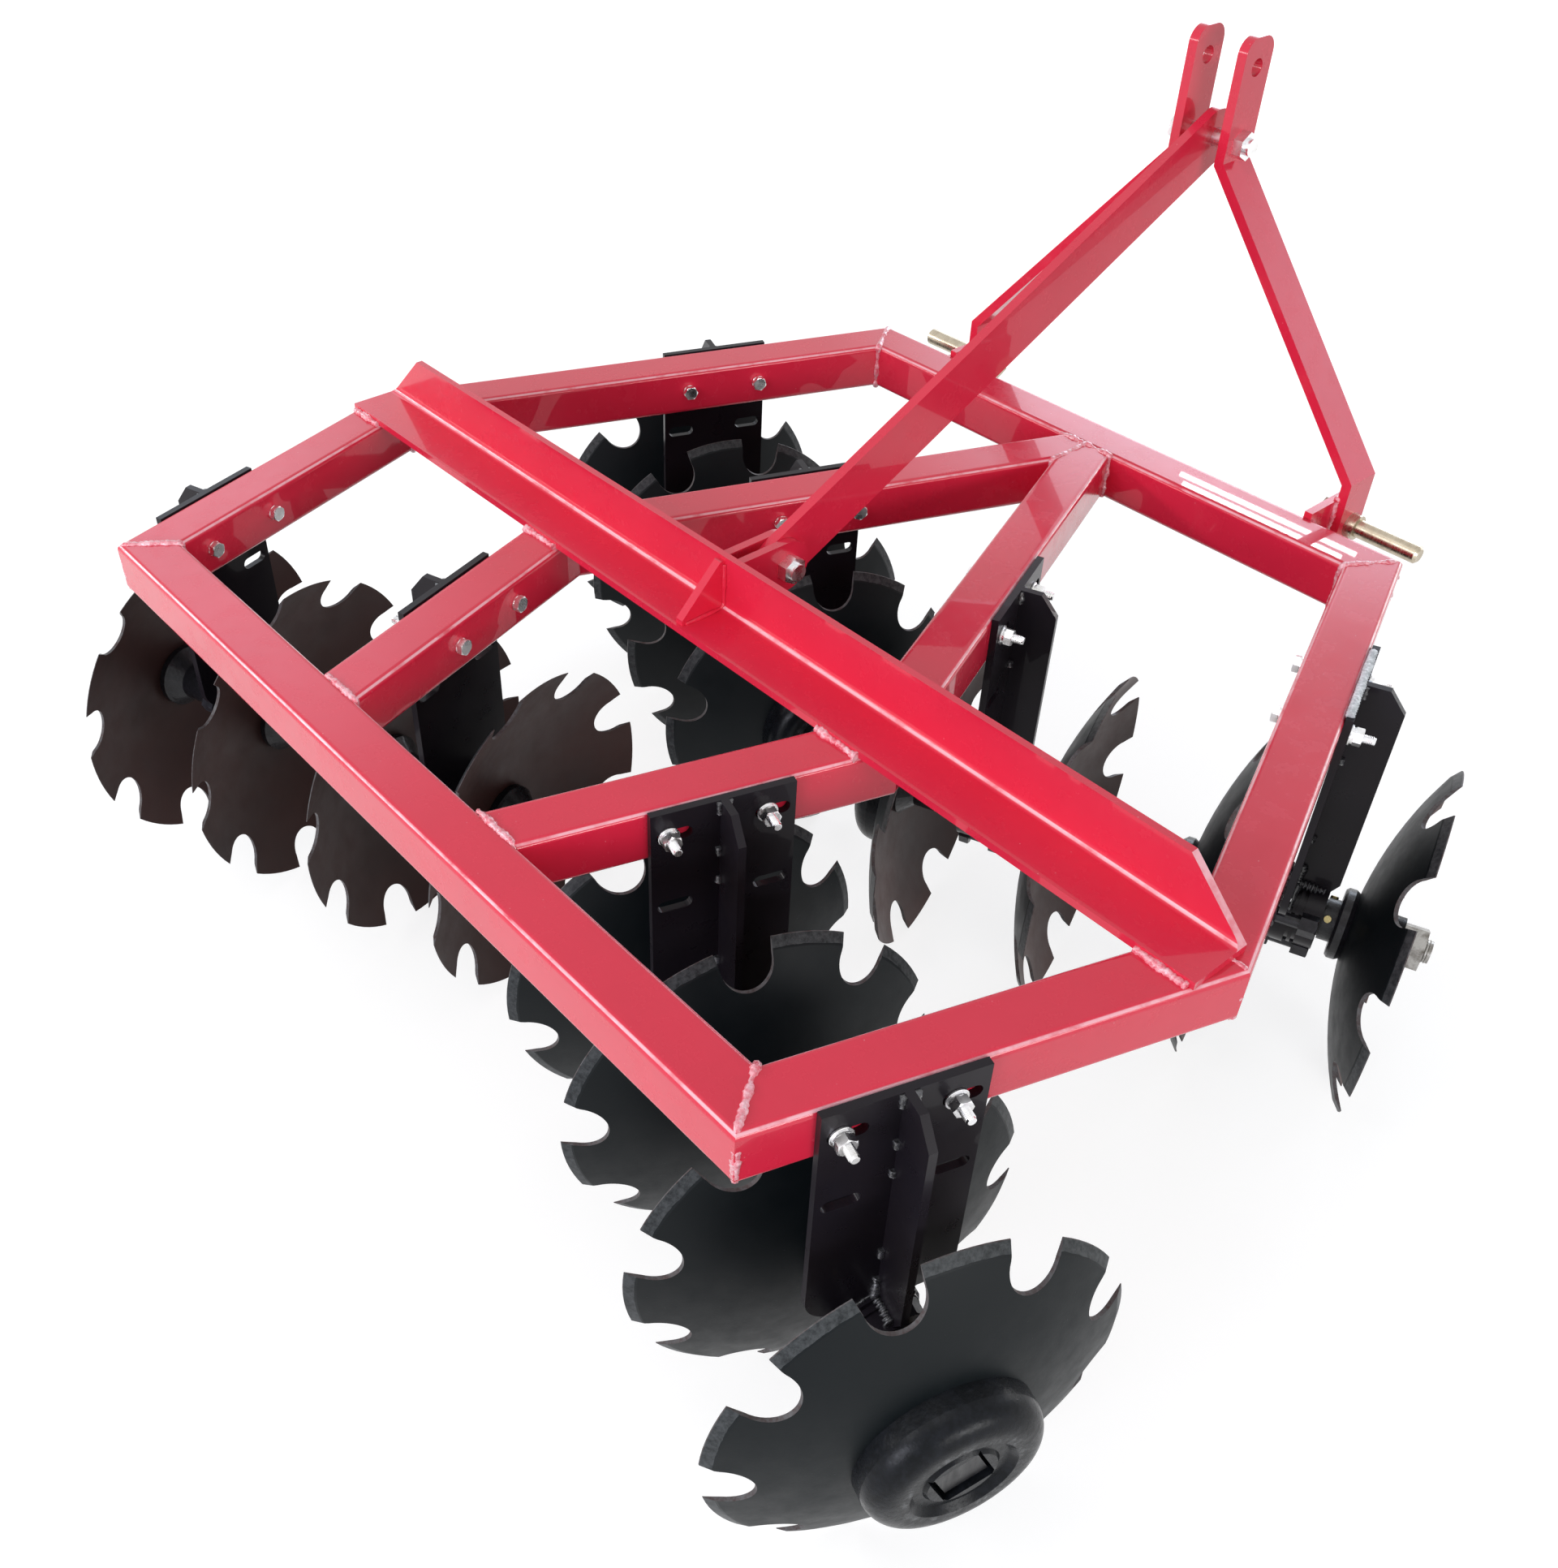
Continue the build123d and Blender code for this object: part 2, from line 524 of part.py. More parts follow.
def turned(steps, near_sphere=None, far_sphere=None):
    """Solid of revolution about X from (x, diameter) steps, each end flat or seated on a sphere."""
    near, near_corner = end_line(*steps[0], near_sphere)
    far, far_corner = end_line(*steps[-1], far_sphere)
    side = Polyline(near_corner, *[(x, d / 2) for x, d in steps[1:-1]], far_corner)
    return revolve(make_face([near, side, far, Line((steps[0][0], 0), (steps[-1][0], 0))]), Axis.X)


def flange(x, way):
    """Steps of a flange with rounded edges, from its face at x. Way is 1 where the spool follows, else -1."""
    edge = SPOOL_FLANGE - 2 * FLANGE_ROUND
    steps = [
        (x, edge), (x + way * FLANGE_ROUND, SPOOL_FLANGE),
        (x + way * (FLANGE_THICKNESS - FLANGE_ROUND), SPOOL_FLANGE), (x + way * FLANGE_THICKNESS, edge),
    ]
    return steps[::way]


def spool(start, end, bearing):
    """Cast spacer from a disc's crown to the next disc's hollow, with a journal where a bearing runs."""
    steps = flange(start, 1)
    if bearing is None:
        steps.append((start + FLANGE_THICKNESS * 2, SPOOL_DIAMETER))
    else:
        half_journal = HOUSING_LENGTH / 2 + THRUST_GAP
        low, high = bearing - half_journal, bearing + half_journal
        steps += [
            (start + FLANGE_THICKNESS, COLLAR_DIAMETER), (low, COLLAR_DIAMETER), (low, JOURNAL_DIAMETER),
            (high, JOURNAL_DIAMETER), (high, COLLAR_DIAMETER), (high + COLLAR_LENGTH, COLLAR_DIAMETER),
            (high + COLLAR_LENGTH, SPOOL_DIAMETER),
        ]
    steps.append((end - FLANGE_THICKNESS * 2, SPOOL_DIAMETER))
    return turned(steps + flange(end, -1), sphere_radius, inner_sphere) - shaft_hole


bearing_places = [-DISC_SPACING, DISC_SPACING]
spools = []
for low, high in zip(disc_places, disc_places[1:]):
    inside = [b for b in bearing_places if low < b < high]
    spools.append(spool(low, high - DISC_THICKNESS, inside[0] if inside else None))

# Domed end washer on the last crown: a dished face round a boss, whose socket holds the shaft's head
crown_end = disc_places[-1]
cap_face_x = crown_end + CAP_HEIGHT
cap_floor_x = cap_face_x - CAP_DISH_DEPTH
boss_x = cap_floor_x + CAP_BOSS_HEIGHT
cap_seat, cap_corner = end_line(crown_end, CAP_DIAMETER, sphere_radius)
cap_edge = (crown_end + CAP_EDGE, CAP_DIAMETER / 2)
cap_brow = (cap_face_x, CAP_FACE / 2)
dome_mid = ((cap_edge[0] + cap_brow[0]) / 2 + CAP_BULGE, (cap_edge[1] + cap_brow[1]) / 2 + CAP_BULGE)
cap = revolve(make_face([
    cap_seat, Line(cap_corner, cap_edge), ThreePointArc(cap_edge, dome_mid, cap_brow),
    Polyline(
        cap_brow, (cap_face_x, CAP_DISH / 2), (cap_floor_x, CAP_DISH / 2 - CAP_DISH_DEPTH),
        (cap_floor_x, CAP_BOSS / 2 + CAP_BOSS_HEIGHT), (boss_x, CAP_BOSS / 2), (boss_x, 0), (crown_end, 0),
    ),
]), Axis.X)
cap -= shaft_hole
cap -= Pos(boss_x, 0, 0) * Box(2 * CAP_SOCKET_DEPTH, CAP_SOCKET, CAP_SOCKET)

# Nut washer in the first hollow, and the square shaft with its head and nut
hollow_end = disc_places[0] - DISC_THICKNESS
nut_seat = hollow_end - NUT_WASHER_LENGTH
neck_end = hollow_end - 2 * FLANGE_THICKNESS
washer_steps = [(nut_seat, NUT_WASHER_NECK), (neck_end, NUT_WASHER_NECK)] + flange(hollow_end, -1)
nut_washer = turned(washer_steps, None, inner_sphere)
nut_washer -= shaft_hole
head_seat = boss_x - CAP_SOCKET_DEPTH
shaft = Pos((nut_seat + head_seat) / 2, 0, 0) * Box(head_seat - nut_seat, SHAFT, SHAFT)
shaft += Pos(head_seat + HEAD_HEIGHT / 2, 0, 0) * Box(HEAD_HEIGHT, HEAD, HEAD)
shaft += turned([(nut_seat - NUT_HEIGHT - SHAFT_TAIL, THREAD_DIAMETER), (nut_seat, THREAD_DIAMETER)])
nut_plane = Plane((nut_seat - NUT_HEIGHT, 0, 0), z_dir=(1, 0, 0))
shaft += extrude(nut_plane * RegularPolygon(NUT_ACROSS_FLATS / 2, 6, major_radius=False), NUT_HEIGHT)

for gang_name, seat, outward, turn, convex, right_roll, left_roll in gangs:
    reach = BEARING_OUT - DISC_SPACING
    centre = (seat[0] + outward[0] * reach, seat[1] + outward[1] * reach, disc_radius)
    for side, (roll, quarter_turns) in (("right", right_roll), ("left", left_roll)):
        place = Pos(*centre) * Rot(Z=turn if convex > 0 else turn + 180) * Rot(X=roll)
        discs = [Pos(x, 0, 0) * Rot(X=90 * quarter) * disc for x, quarter in zip(disc_places, quarter_turns)]
        pieces = {
            "discs": Compound(discs),
            "spools": Compound(spools),
            "end_washers": Compound([cap, nut_washer]),
            "shaft": shaft,
        }
        for piece_name, piece in pieces.items():
            placed = place * piece if side == "right" else mirrored(place * piece)
            save(machine * placed, f"{gang_name}_{side}_gang_{piece_name}")
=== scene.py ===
import json
from math import cos, pi, radians, sin, tan

import bmesh
import bpy
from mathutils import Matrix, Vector


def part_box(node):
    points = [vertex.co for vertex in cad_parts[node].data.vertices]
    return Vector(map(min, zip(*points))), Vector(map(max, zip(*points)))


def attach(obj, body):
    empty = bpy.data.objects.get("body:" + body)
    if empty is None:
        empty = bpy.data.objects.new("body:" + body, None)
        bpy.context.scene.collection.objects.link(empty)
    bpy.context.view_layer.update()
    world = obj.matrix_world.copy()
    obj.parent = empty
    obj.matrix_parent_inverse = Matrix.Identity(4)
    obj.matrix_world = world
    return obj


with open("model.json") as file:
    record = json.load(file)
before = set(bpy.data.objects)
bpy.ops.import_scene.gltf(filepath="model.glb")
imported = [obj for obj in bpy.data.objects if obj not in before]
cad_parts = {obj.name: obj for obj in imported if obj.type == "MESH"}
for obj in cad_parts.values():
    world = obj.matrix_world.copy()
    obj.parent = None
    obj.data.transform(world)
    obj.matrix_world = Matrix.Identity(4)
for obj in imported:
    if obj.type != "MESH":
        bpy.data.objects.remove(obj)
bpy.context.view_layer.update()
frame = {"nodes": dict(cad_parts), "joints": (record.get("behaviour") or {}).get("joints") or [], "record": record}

# Camera, as the photograph was taken
CAMERA_PLACE = Vector((1.0712, -1.0439, 1.4511))
CAMERA_TURN = (radians(48.767), radians(-0.306), radians(50.275))
CAMERA_LENS = 35.84
CAMERA_SHIFT = (0.0507, 0.0273)

# Studio: the floor's own glow from one distance to another, the world's light and the lamps
FLOOR_HALF = 14
FLOOR_GREY = 0.30
GLOW_REACH, GLOW = (1.4, 4.5), (0.78, 1.0)
WORLD_LIGHT = 0.38
PLAIN_TINT, SKY_TINT, WINDOW_TINT = (1, 1, 1), (0.86, 0.88, 1.0), (0.74, 0.84, 1.0)
LAMPS = (  # name, place, target, size, power, tint, soft edges
    ("overhead_softbox", (0.2, -1.2, 3.6), (0, -0.3, 0.3), (3.4, 2.8), 40, PLAIN_TINT, True),
    ("back_softbox", (-0.7, -3.3, 3.1), (0, -0.2, 0.3), (2.6, 1.8), 60, PLAIN_TINT, True),
    ("back_window", (0.9, -4.4, 1.5), (0.3, 0, 0.4), (3.2, 2.6), 250, SKY_TINT, True),
    ("right_softbox", (3.8, -0.5, 1.0), (0, 0, 0.4), (2.8, 1.1), 120, PLAIN_TINT, True),
    ("left_strip", (-2.8, -2.7, 1.7), (0, -0.2, 0.5), (3.0, 0.35), 46, PLAIN_TINT, False),
    ("front_strip", (0.8, 5.5, 0.9), (0.4, 0.5, 0.5), (3.5, 0.30), 36, PLAIN_TINT, False),
    ("left_window", (-4.3, 0.6, 2.9), (0, -0.2, 0.4), (3.2, 2.8), 40, WINDOW_TINT, True),
    ("far_window", (-2.0, 5.6, 2.3), (0, 0.4, 0.4), (5.6, 3.4), 290, WINDOW_TINT, True),
    ("right_window", (2.7, 5.4, 2.7), (0.2, 0.7, 0.7), (2.6, 2.6), 38, WINDOW_TINT, True),
)
# Thin tubes that show as streaks on the front beam: x, y and length
TUBE_LAMPS = ((-2.24, 5.02, 0.72), (-2.20, 4.952, 0.67), (-1.74, 5.02, 0.19), (-1.75, 4.95, 0.15))

# Sizes of the solids that the small pieces are set on, with heights from the frame's top down
TUBE = 0.060
FRAME_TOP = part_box("front_beam")[1].z
REAR_FACE_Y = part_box("rear_beam")[0].y
FRONT_FACE_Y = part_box("front_beam")[1].y
REAR_SIDE_RUN = 0.440  # from the rear face to the frame's widest corner
WIDEST_Y = REAR_FACE_Y + REAR_SIDE_RUN
WIDEST_HALF = 0.686
REAR_ANGLE = radians(18)
FRONT_ANGLE = radians(22)
STANDARD_SPACING = 0.370
SEAT_OUT = 0.170
PLATE_THICKNESS = 0.008
FIN_HALF = 0.004
FIN_FOOT_OUT = 0.040
FIN_BEADS = ((-0.001, -0.015), (-0.056, -0.067), (-0.094, -0.101), (-0.205, -0.216))
FIN_FOOT_BEAD_TOP = -0.248
SHAFT_BELOW_TOP = 0.317
HOUSING_RADIUS = 0.041
HOUSING_FAR = 0.045
ANGLE_FRONT_Y = WIDEST_Y + 0.015
ANGLE_WIDTH = 0.070
ANGLE_REAR_Y = ANGLE_FRONT_Y - ANGLE_WIDTH
ANGLE_THICKNESS = 0.008
ANGLE_REAR_LIMIT = 0.666  # how far out the cross angle's beads reach
ANGLE_FRONT_LIMIT = 0.664
# Along a gang's shaft from its middle, and out from it
THREAD_START = 0.3265
THREAD_END = 0.3350
THREAD_RADIUS = 0.0139
THREAD_PITCH = 0.003
HEAD_START = 0.318
CAP_CREST = 0.0555
CAP_CREST_REACH = 0.334
COLLAR_OUT = 0.0365
COLLAR_RADIUS = 0.025

# Small pieces
BOLT_DROP = 0.028
BOLT_SPREAD = 0.050
BOLT_SHIFT = -0.006
WASHER_RADIUS = 0.0110
WASHER_THICKNESS = 0.0022
WASHER_CHAMFER = 0.0004
SPRING_RADIUS = 0.0090
SPRING_THICKNESS = 0.0026
NUT_FLATS = 0.017
NUT_HEIGHT = 0.0084
PLATE_BOLT_RADIUS = 0.005
PLATE_BOLT_PITCH = 0.0016
PLATE_BOLT_TAIL = 0.0125
HEAD_HEIGHT = 0.0066
CLAMP_FLATS = 0.024
CLAMP_HEIGHT = 0.019
CLAMP_CIRCLE = 0.040
CLAMP_ANGLES = (20, 110, 200, 290)
CLAMP_RADIUS = 0.0075
CLAMP_NUT_HEIGHT = 0.0125
CLAMP_NUT_BEHIND = 0.0205  # from the back of the plate to the face of the bolt's nut
SET_SCREW_ANGLES = (40, 130)
BEAD_WIDTH = 0.0084
BEAD_SINK = 0.0012  # how far the frame's seams lie under its faces
FLUSH_SINK = 0.0045  # the same at its outer corners, where the beads are ground flush
BEAD_INSET = 0.003  # how far a seam over a beam stops short of the beam's sides
PROUD = 0.001  # how far a seam's middle stands off the surfaces that it joins
BARELY_PROUD = 0.0005


def link_object(obj):
    bpy.context.scene.collection.objects.link(obj)
    return obj


def rgba(red, green, blue):
    return (red, green, blue, 1.0)


def new_tree(name, kind, inputs, outputs):
    """Node group with named sockets. A socket is (name, type, value)."""
    tree = bpy.data.node_groups.new(name, kind)
    for direction, rows in (("INPUT", inputs), ("OUTPUT", outputs)):
        for title, socket, value in rows:
            made = tree.interface.new_socket(title, in_out=direction, socket_type=socket)
            if value is not None:
                made.default_value = value
    return tree, tree.nodes.new("NodeGroupInput"), tree.nodes.new("NodeGroupOutput")


def add(tree, kind, feeds=None, **settings):
    """Node with its settings, and what feeds its inputs: another socket or a plain value."""
    node = tree.nodes.new(kind)
    for title, value in settings.items():
        setattr(node, title, value)
    for title, source in (feeds or {}).items():
        if isinstance(source, bpy.types.NodeSocket):
            tree.links.new(source, node.inputs[title])
        else:
            node.inputs[title].default_value = source
    return node


def hand_out(tree, result, sockets):
    """Links a group's named outputs."""
    for title, socket in sockets.items():
        tree.links.new(socket, result.inputs[title])
    return tree


def math(tree, operation, first, second=0.0):
    return add(tree, "ShaderNodeMath", {0: first, 1: second}, operation=operation).outputs[0]


def ramp(tree, value, low, high, out_low=0.0, out_high=1.0):
    """Value carried from one range to another, held at the ends."""
    feeds = {"Value": value, "From Min": low, "From Max": high, "To Min": out_low, "To Max": out_high}
    return add(tree, "ShaderNodeMapRange", feeds).outputs["Result"]


def blend_colour(tree, factor, first, second):
    """Two colours mixed by a factor, through the colour sockets of a Mix node."""
    return add(tree, "ShaderNodeMix", {0: factor, 6: first, 7: second}, data_type="RGBA").outputs[2]


def noise(tree, vector, scale, detail=3.0, roughness=0.5):
    feeds = {"Vector": vector, "Scale": scale, "Detail": detail, "Roughness": roughness}
    return add(tree, "ShaderNodeTexNoise", feeds).outputs["Fac"]


# Shader groups, built once and placed in each finish with its own values
NUMBER, COLOUR, VECTOR = "NodeSocketFloat", "NodeSocketColor", "NodeSocketVector"


def make_paint_film():
    """Brushed or sprayed paint: cloudy colour, orange peel, and pimples where dust was caught."""
    tree, given, result = new_tree(
        "paint_film", "ShaderNodeTree",
        [("Vector", VECTOR, None), ("Paint", COLOUR, None), ("Thin Paint", COLOUR, None),
         ("Cloud Scale", NUMBER, 9.0), ("Cloudiness", NUMBER, 0.5), ("Pimple Scale", NUMBER, 150.0),
         ("Pimple Size", NUMBER, 0.16), ("Low Roughness", NUMBER, 0.2), ("High Roughness", NUMBER, 0.35)],
        [("Colour", COLOUR, None), ("Roughness", NUMBER, None), ("Height", NUMBER, None),
         ("Pimples", NUMBER, None)],
    )
    where = given.outputs["Vector"]
    cloud = noise(tree, where, given.outputs["Cloud Scale"], 5.0, 0.6)
    cloud = math(tree, "MULTIPLY", ramp(tree, cloud, 0.35, 0.7), given.outputs["Cloudiness"])
    feeds = {"Vector": where, "Scale": given.outputs["Pimple Scale"]}
    cell = add(tree, "ShaderNodeTexVoronoi", feeds)
    lot = add(tree, "ShaderNodeSeparateColor", {0: cell.outputs["Color"]}).outputs[0]
    rare = ramp(tree, lot, 0.88, 0.9)
    reach = math(tree, "DIVIDE", cell.outputs["Distance"], given.outputs["Pimple Size"])
    pimples = math(tree, "MULTIPLY", ramp(tree, reach, 0.3, 1.0, 1.0, 0.0), rare)
    peel = noise(tree, where, 420.0, 2.0)
    height = math(tree, "ADD", math(tree, "MULTIPLY", peel, 0.25), pimples)
    colour = blend_colour(tree, cloud, given.outputs["Paint"], given.outputs["Thin Paint"])
    streak = noise(tree, where, 34.0, 4.0, 0.65)
    rough = ramp(tree, streak, 0.3, 0.7, given.outputs["Low Roughness"], given.outputs["High Roughness"])
    return hand_out(tree, result, {"Colour": colour, "Roughness": rough, "Height": height, "Pimples": pimples})


def make_sand_skin():
    """Skin of a sand casting or a weld: pits and grains of two sizes, lighter on the high grains."""
    tree, given, result = new_tree(
        "sand_skin", "ShaderNodeTree",
        [("Vector", VECTOR, None), ("Low Colour", COLOUR, None), ("High Colour", COLOUR, None),
         ("Grain Scale", NUMBER, 160.0), ("Low Roughness", NUMBER, 0.35), ("High Roughness", NUMBER, 0.6)],
        [("Colour", COLOUR, None), ("Roughness", NUMBER, None), ("Height", NUMBER, None)],
    )
    where = given.outputs["Vector"]
    coarse = noise(tree, where, given.outputs["Grain Scale"], 6.0, 0.62)
    lumps = noise(tree, where, 38.0, 3.0)
    height = math(tree, "ADD", coarse, math(tree, "MULTIPLY", lumps, 1.6))
    high = ramp(tree, math(tree, "ADD", coarse, math(tree, "MULTIPLY", lumps, 0.5)), 0.62, 0.95)
    colour = blend_colour(tree, high, given.outputs["Low Colour"], given.outputs["High Colour"])
    rough = ramp(tree, coarse, 0.3, 0.7, given.outputs["High Roughness"], given.outputs["Low Roughness"])
    return hand_out(tree, result, {"Colour": colour, "Roughness": rough, "Height": height})


def make_metal_grain():
    """Worked bare metal: fine lines across one axis, and stains of the oil or plating."""
    tree, given, result = new_tree(
        "metal_grain", "ShaderNodeTree",
        [("Vector", VECTOR, None), ("Line Scale", VECTOR, (900.0, 30.0, 30.0)), ("Metal", COLOUR, None),
         ("Stain", COLOUR, None), ("Staining", NUMBER, 0.5), ("Low Roughness", NUMBER, 0.2),
         ("High Roughness", NUMBER, 0.4)],
        [("Colour", COLOUR, None), ("Roughness", NUMBER, None), ("Height", NUMBER, None)],
    )
    where = given.outputs["Vector"]
    stretched = add(tree, "ShaderNodeVectorMath", {0: where, 1: given.outputs["Line Scale"]}, operation="MULTIPLY")
    lines = noise(tree, stretched.outputs[0], 1.0, 2.0)
    spots = ramp(tree, noise(tree, where, 70.0, 5.0, 0.65), 0.42, 0.66)
    spots = math(tree, "MULTIPLY", spots, given.outputs["Staining"])
    colour = blend_colour(tree, spots, given.outputs["Metal"], given.outputs["Stain"])
    rough = ramp(tree, lines, 0.3, 0.7, given.outputs["Low Roughness"], given.outputs["High Roughness"])
    rough = math(tree, "ADD", rough, math(tree, "MULTIPLY", spots, 0.12))
    return hand_out(tree, result, {"Colour": colour, "Roughness": rough, "Height": lines})


def make_gang_place():
    """Where a point lies on a gang: its reach along the shaft, its radius, and how far it faces along the shaft."""
    tree, given, result = new_tree(
        "gang_place", "ShaderNodeTree",
        [("Vector", VECTOR, None), ("Facing", VECTOR, None), ("Shaft Place", VECTOR, None),
         ("Shaft Turn", VECTOR, None)],
        [("Reach", NUMBER, None), ("Radius", NUMBER, None), ("Side", NUMBER, None)],
    )
    out = given.outputs
    moved = add(tree, "ShaderNodeVectorMath", {0: out["Vector"], 1: out["Shaft Place"]}, operation="SUBTRACT")
    feeds = {"Vector": moved.outputs[0], "Rotation": out["Shaft Turn"]}
    local = add(tree, "ShaderNodeVectorRotate", feeds, rotation_type="EULER_XYZ")
    across = add(tree, "ShaderNodeVectorMath", {0: local.outputs[0], 1: (0.0, 1.0, 1.0)}, operation="MULTIPLY")
    radius = add(tree, "ShaderNodeVectorMath", {0: across.outputs[0]}, operation="LENGTH").outputs["Value"]
    reach = add(tree, "ShaderNodeSeparateXYZ", {0: local.outputs[0]}).outputs["X"]
    feeds = {"Vector": out["Facing"], "Rotation": out["Shaft Turn"]}
    facing = add(tree, "ShaderNodeVectorRotate", feeds, rotation_type="EULER_XYZ")
    side = add(tree, "ShaderNodeSeparateXYZ", {0: facing.outputs[0]}).outputs["X"]
    return hand_out(tree, result, {"Reach": reach, "Radius": radius, "Side": side})


def make_ground_rim():
    """Masks of a dished disc: its convex face, the ground bevel on it, and the cut edges of rim and notches."""
    tree, given, result = new_tree(
        "ground_rim", "ShaderNodeTree",
        [("Vector", VECTOR, None), ("Radius", NUMBER, None), ("Side", NUMBER, None),
         ("Bevel Start", NUMBER, 0.1935), ("Notch Floor", NUMBER, 0.150), ("Face Limit", NUMBER, 0.3)],
        [("Convex", NUMBER, None), ("Bevel", NUMBER, None), ("Cut", NUMBER, None)],
    )
    out = given.outputs
    ragged = math(tree, "MULTIPLY", noise(tree, out["Vector"], 90.0, 4.0), 0.0022)
    start = math(tree, "ADD", out["Bevel Start"], ragged)
    convex = math(tree, "GREATER_THAN", out["Side"], out["Face Limit"])
    bevel = math(tree, "MULTIPLY", math(tree, "GREATER_THAN", out["Radius"], start), convex)
    mottle = ramp(tree, noise(tree, out["Vector"], 160.0, 4.0, 0.7), 0.34, 0.62, 0.25, 1.0)
    edgewise = math(tree, "LESS_THAN", math(tree, "ABSOLUTE", out["Side"]), out["Face Limit"])
    cut = math(tree, "MULTIPLY", edgewise, math(tree, "GREATER_THAN", out["Radius"], out["Notch Floor"]))
    bevel, cut = math(tree, "MULTIPLY", bevel, mottle), math(tree, "MULTIPLY", cut, mottle)
    return hand_out(tree, result, {"Convex": convex, "Bevel": bevel, "Cut": cut})


def make_corner_highlight():
    """Mask of a level tube's rounded top corners, for a painted highlight along them, broken in places by noise."""
    tree, given, result = new_tree(
        "corner_highlight", "ShaderNodeTree",
        [("Vector", VECTOR, None), ("Facing", VECTOR, None), ("Low Tilt", NUMBER, 0.56),
         ("High Tilt", NUMBER, 0.90), ("Edge", NUMBER, 0.08)],
        [("Highlight", NUMBER, None)],
    )
    out = given.outputs
    tilt = add(tree, "ShaderNodeSeparateXYZ", {0: out["Facing"]}).outputs["Z"]
    # Painted highlight: the band of tilts between the two limits, along the rounded top corners
    above = ramp(tree, tilt, out["Low Tilt"], math(tree, "ADD", out["Low Tilt"], out["Edge"]))
    below = ramp(tree, tilt, math(tree, "SUBTRACT", out["High Tilt"], out["Edge"]), out["High Tilt"], 1.0, 0.0)
    broken = ramp(tree, noise(tree, out["Vector"], 24.0, 5.0, 0.65), 0.30, 0.52, 0.15, 1.0)
    pale_mask = math(tree, "MULTIPLY", math(tree, "MULTIPLY", above, below), broken)
    return hand_out(tree, result, {"Highlight": pale_mask})


PAINT_FILM = make_paint_film()
SAND_SKIN = make_sand_skin()
METAL_GRAIN = make_metal_grain()
GANG_PLACE = make_gang_place()
GROUND_RIM = make_ground_rim()
CORNER_HIGHLIGHT = make_corner_highlight()


def start_finish(name):
    """New material with its shader and the object's own coordinates."""
    material = bpy.data.materials.new(name)
    material.use_nodes = True
    tree = material.node_tree
    return material, tree, tree.nodes["Principled BSDF"], add(tree, "ShaderNodeTexCoord")


def place_group(tree, group, feeds):
    """One use of a shader group, with its own values."""
    return add(tree, "ShaderNodeGroup", feeds, node_tree=group)


def in_words(settings):
    """Settings under their sockets' names: low_roughness becomes Low Roughness."""
    return {title.replace("_", " ").title(): value for title, value in settings.items()}


def between(roughness):
    return {"Low Roughness": roughness[0], "High Roughness": roughness[1]}


def raise_surface(tree, shader, height, depth, strength=1.0):
    bump = add(tree, "ShaderNodeBump", {"Height": height, "Distance": depth, "Strength": strength})
    tree.links.new(bump.outputs["Normal"], shader.inputs["Normal"])


def cover(tree, shader, colour, roughness, specular=0.5, coat=0.0):
    """Feeds a shader its colour and roughness, and sets how strongly it and its coat reflect."""
    tree.links.new(colour, shader.inputs["Base Color"])
    tree.links.new(roughness, shader.inputs["Roughness"])
    shader.inputs["Specular IOR Level"].default_value = specular
    shader.inputs["Coat Weight"].default_value = coat


def paint_finish(name, paint, thin, fleck, roughness, coat, bump, highlight_colour=None, specular=0.2, **film):
    """Gloss paint with pale flecks, and a painted highlight along rounded top corners where its colour is given."""
    material, tree, shader, coords = start_finish(name)
    feeds = {"Vector": coords.outputs["Object"], "Paint": paint, "Thin Paint": thin}
    layer = place_group(tree, PAINT_FILM, feeds | between(roughness) | in_words(film))
    flecks = math(tree, "MULTIPLY", layer.outputs["Pimples"], 0.6)
    colour = blend_colour(tree, flecks, layer.outputs["Colour"], fleck)
    # Painted highlight along rounded top corners, in the given pale colour
    if highlight_colour:
        feeds = {"Vector": coords.outputs["Object"], "Facing": coords.outputs["Normal"]}
        highlight_node = place_group(tree, CORNER_HIGHLIGHT, feeds)
        colour = blend_colour(tree, math(tree, "MULTIPLY", highlight_node.outputs["Highlight"], 0.8), colour, highlight_colour)
    cover(tree, shader, colour, layer.outputs["Roughness"], specular, coat)
    shader.inputs["Coat Roughness"].default_value = 0.012
    raise_surface(tree, shader, layer.outputs["Height"], 0.0004, bump)
    return material


def cast_finish(name, low, high, grain, roughness, depth, coat=0.0, specular=0.5):
    """Painted casting or weld bead."""
    material, tree, shader, coords = start_finish(name)
    feeds = {"Vector": coords.outputs["Object"], "Low Colour": low, "High Colour": high, "Grain Scale": grain}
    skin = place_group(tree, SAND_SKIN, feeds | between(roughness))
    cover(tree, shader, skin.outputs["Colour"], skin.outputs["Roughness"], specular, coat)
    raise_surface(tree, shader, skin.outputs["Height"], depth)
    return material


def metal_finish(name, metal, stain, staining, roughness, lines=(900.0, 30.0, 30.0), depth=0.00012):
    """Bare or plated metal."""
    material, tree, shader, coords = start_finish(name)
    feeds = {"Vector": coords.outputs["Object"], "Line Scale": lines}
    feeds |= {"Metal": metal, "Stain": stain, "Staining": staining}
    grain = place_group(tree, METAL_GRAIN, feeds | between(roughness))
    cover(tree, shader, grain.outputs["Colour"], grain.outputs["Roughness"])
    shader.inputs["Metallic"].default_value = 1.0
    raise_surface(tree, shader, grain.outputs["Height"], depth)
    return material


def place_on_gang(tree, coords, centre, heading):
    """Group node that tells where on its gang a point lies. The heading is the way the discs' convex sides face."""
    turn = Vector((1, 0, 0)).rotation_difference(heading).inverted().to_euler()
    feeds = {"Vector": coords.outputs["Object"], "Facing": coords.outputs["Normal"]}
    return place_group(tree, GANG_PLACE, feeds | {"Shaft Place": centre, "Shaft Turn": turn})


